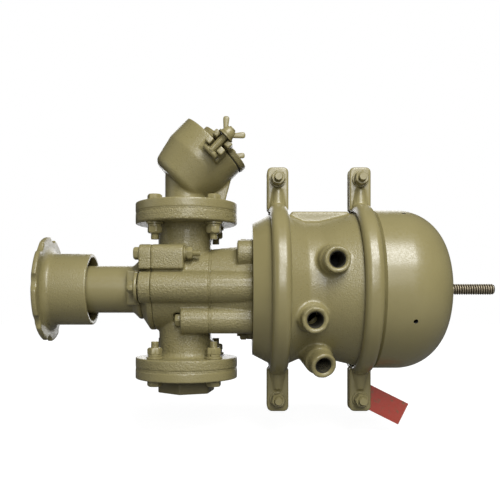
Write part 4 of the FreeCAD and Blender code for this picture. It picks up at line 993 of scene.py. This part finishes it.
class VALVE_OT_mould_seams(bpy.types.Operator):
    """Leaves the low seam of the mould halves on the necks and flange edges"""

    bl_idname = "valve.mould_seams"
    bl_label = "Leave the mould seams"

    def execute(self, context):
        height = settings()[1].seam_height / MM
        parts = []
        for radius, low, high in SEAM_RUNS:
            rise = np.linspace(low, high, 12)
            sway = SEAM_SWAY * np.sin(rise * SEAM_WAVE) - SEAM_PLACE
            for side in (-1.0, 1.0):
                depth = np.full(len(rise), side * (radius - SEAM_SINK))
                out = np.tile(Y_AXIS * side, (len(rise), 1))
                parts.append(seam(np.stack([sway, depth, rise], axis=-1), out, SEAM_HALF,
                                  height + SEAM_SINK))
        piece = make_piece("mould_seams", parts)
        add_to_valve(piece, finishes()["cast"])
        return {"FINISHED"}


class VALVE_OT_joint_edges(bpy.types.Operator):
    """Fills the joints with paint up to the rims, so that only thin lines stay"""

    bl_idname = "valve.joint_edges"
    bl_label = "Paint over the joints"

    def execute(self, context):
        coat = finishes()["cast"]
        for name, level in (("inlet_gasket", NECK_TOP + FLANGE_THICKNESS),
                            ("outlet_gasket", -NECK_BOTTOM - FLANGE_THICKNESS - GASKET_SHEET)):
            base = np.array([0.0, 0.0, level - GASKET_DROP])
            ring = turned(grooved(GASKET_BORE, FLANGE_RIM, GASKET_THICK), base, Z_AXIS,
                          segments=96)
            piece = make_piece(name + "_painted_edge", [ring])
            hold(piece, name, "valve", coat)
        parts = []
        for across, level, radius, inner in (
                (0.0, 0.0, BODY_EDGE, PARTING_BORE),
                (LUG_OFFSET, SIDE_BOLT[1], LUG_EDGE, 0.0),
                (-LUG_OFFSET, SIDE_BOLT[1], LUG_EDGE, 0.0),
                (BOSS_OFFSET, -BOSS_OFFSET, BOSS_EDGE, 0.0),
                (-BOSS_OFFSET, -BOSS_OFFSET, BOSS_EDGE, 0.0)):
            base = np.array([PARTING_PLANE - PARTING_LEAD, across, level])
            points, quads = turned(grooved(inner, radius, PARTING_THICK), base, X_AXIS,
                                   segments=72)
            if not inner:
                away = np.hypot(points[:, 1], points[:, 2])
                grow = np.maximum(away, RIB_CLEARANCE) / np.maximum(away, 1e-6)
                points[:, 1:] *= grow[:, None]
            parts.append((points, quads))
        piece = make_piece("parting_gasket_painted_edge", parts)
        hold(piece, "parting_gasket", "valve", coat)
        return {"FINISHED"}


class VALVE_OT_stage(bpy.types.Operator):
    """Sets up the pale floor, the soft lights and the camera"""

    bl_idname = "valve.stage"
    bl_label = "Build the studio"

    def execute(self, context):
        _, _, stage = settings()
        self.floor(stage)
        self.sky(stage)
        self.lamps(stage)
        scene = context.scene
        scene.view_settings.view_transform = "Standard"
        data = bpy.data.cameras.new("valve_camera")
        data.sensor_width = 36.0
        data.lens = stage.lens
        data.shift_x, data.shift_y = CAMERA_SHIFT
        camera = add_object("valve_camera", data)
        camera.location = (CAMERA_X, -stage.distance, CAMERA_Z)
        camera.rotation_euler = (math.radians(90.0), 0.0, 0.0)
        scene.camera = camera
        return {"FINISHED"}

    def floor(self, stage):
        """A flat grid of x and y, which glows more towards its rim."""
        span = np.linspace(-FLOOR_REACH, FLOOR_REACH, FLOOR_ROWS)
        across, deep = np.meshgrid(span, span, indexing="ij")
        points = np.stack([across, deep, np.full_like(across, -stage.floor_drop)], axis=-1)
        quads = stitch(FLOOR_ROWS, FLOOR_ROWS, closed=False)[:, ::-1]
        mesh = bpy.data.meshes.new("floor")
        mesh.from_pydata(points.reshape(-1, 3).tolist(), [], quads.tolist())
        floor = add_object("floor", mesh)
        material = bpy.data.materials.new("Pale floor")
        material.use_nodes = True
        tree = material.node_tree
        shader = tree.nodes["Principled BSDF"]
        for name, value in (("Base Color", (*[stage.floor_tone] * 3, 1.0)), ("Roughness", 0.9),
                            ("Specular IOR Level", 0.0), ("Emission Color", (1.0,) * 4)):
            shader.inputs[name].default_value = value
        path = node(tree, "ShaderNodeLightPath")
        place = node(tree, "ShaderNodeTexCoord")
        away = node(tree, "ShaderNodeVectorMath", operation="LENGTH")
        tree.links.new(place.outputs["Object"], away.inputs[0])
        rise = ranged(tree, away.outputs["Value"], *FLOOR_FADE, stage.floor_glow, 1.0)
        glow = combined(tree, "MULTIPLY", path.outputs["Is Camera Ray"], rise)
        tree.links.new(glow, shader.inputs["Emission Strength"])
        mesh.materials.append(material)

    def sky(self, stage):
        """White to the camera, softer as a light."""
        world = bpy.data.worlds.new("studio")
        world.use_nodes = True
        bpy.context.scene.world = world
        tree = world.node_tree
        background = tree.nodes["Background"]
        path = node(tree, "ShaderNodeLightPath")
        strength = ranged(tree, path.outputs["Is Camera Ray"], 0.0, 1.0, stage.fill, 1.0)
        tree.links.new(strength, background.inputs["Strength"])
        background.inputs["Color"].default_value = (1.0, 1.0, 1.0, 1.0)

    def lamps(self, stage):
        """A broad light above the camera, and weaker ones in front, at the left and behind."""
        aims = (("key", (0.38, -0.92, 1.00), 0.7, stage.key_power),
                ("front", (0.15, -1.5, 0.45), 0.6, stage.key_power * 0.45),
                ("left", (-1.5, -0.25, 0.35), 0.9, stage.key_power * 0.08),
                ("behind", (0.10, 1.5, 0.35), 1.2, stage.key_power * 0.45))
        for name, place, size, power in aims:
            data = bpy.data.lights.new(name, "AREA")
            data.shape = "SQUARE"
            data.size = size
            data.energy = power
            lamp = add_object(name, data)
            lamp.location = place
            aim = Vector(LAMP_AIM) - Vector(place)
            lamp.rotation_euler = aim.to_track_quat("-Z", "Y").to_euler()


class VALVE_PT_panel(bpy.types.Panel):
    """Lists the operators and their settings"""

    bl_idname = "VALVE_PT_panel"
    bl_label = "Metering valve"
    bl_space_type = "VIEW_3D"
    bl_region_type = "UI"
    bl_category = "Valve"

    def draw(self, context):
        layout = self.layout
        for group in settings():
            for name in group.bl_rna.properties.keys():
                if name not in ("rna_type", "name"):
                    layout.prop(group, name)
        for operator in OPERATORS:
            layout.operator(operator.bl_idname)


OPERATORS = (VALVE_OT_finishes, VALVE_OT_castings, VALVE_OT_flange_fasteners,
             VALVE_OT_body_fasteners, VALVE_OT_clamp_fasteners, VALVE_OT_wing_nuts,
             VALVE_OT_release_bolt, VALVE_OT_stud_fasteners, VALVE_OT_vent_liners,
             VALVE_OT_flexing_pieces, VALVE_OT_port_threads, VALVE_OT_mould_seams,
             VALVE_OT_joint_edges, VALVE_OT_stage)
CLASSES = (ValvePaint, ValveShape, ValveStage) + OPERATORS + (VALVE_PT_panel,)


def register():
    """Adds the classes and the settings."""
    for item in CLASSES:
        bpy.utils.register_class(item)
    bpy.types.Scene.valve_paint = bpy.props.PointerProperty(type=ValvePaint)
    bpy.types.Scene.valve_shape = bpy.props.PointerProperty(type=ValveShape)
    bpy.types.Scene.valve_stage = bpy.props.PointerProperty(type=ValveStage)


def unregister():
    """Takes the classes and the settings away."""
    del bpy.types.Scene.valve_paint
    del bpy.types.Scene.valve_shape
    del bpy.types.Scene.valve_stage
    for item in reversed(CLASSES):
        bpy.utils.unregister_class(item)


def main():
    """Builds everything in order."""
    register()
    for operator in OPERATORS:
        group, name = operator.bl_idname.split(".")
        getattr(getattr(bpy.ops, group), name)()
    bpy.context.view_layer.update()


if __name__ == "__main__":
    main()
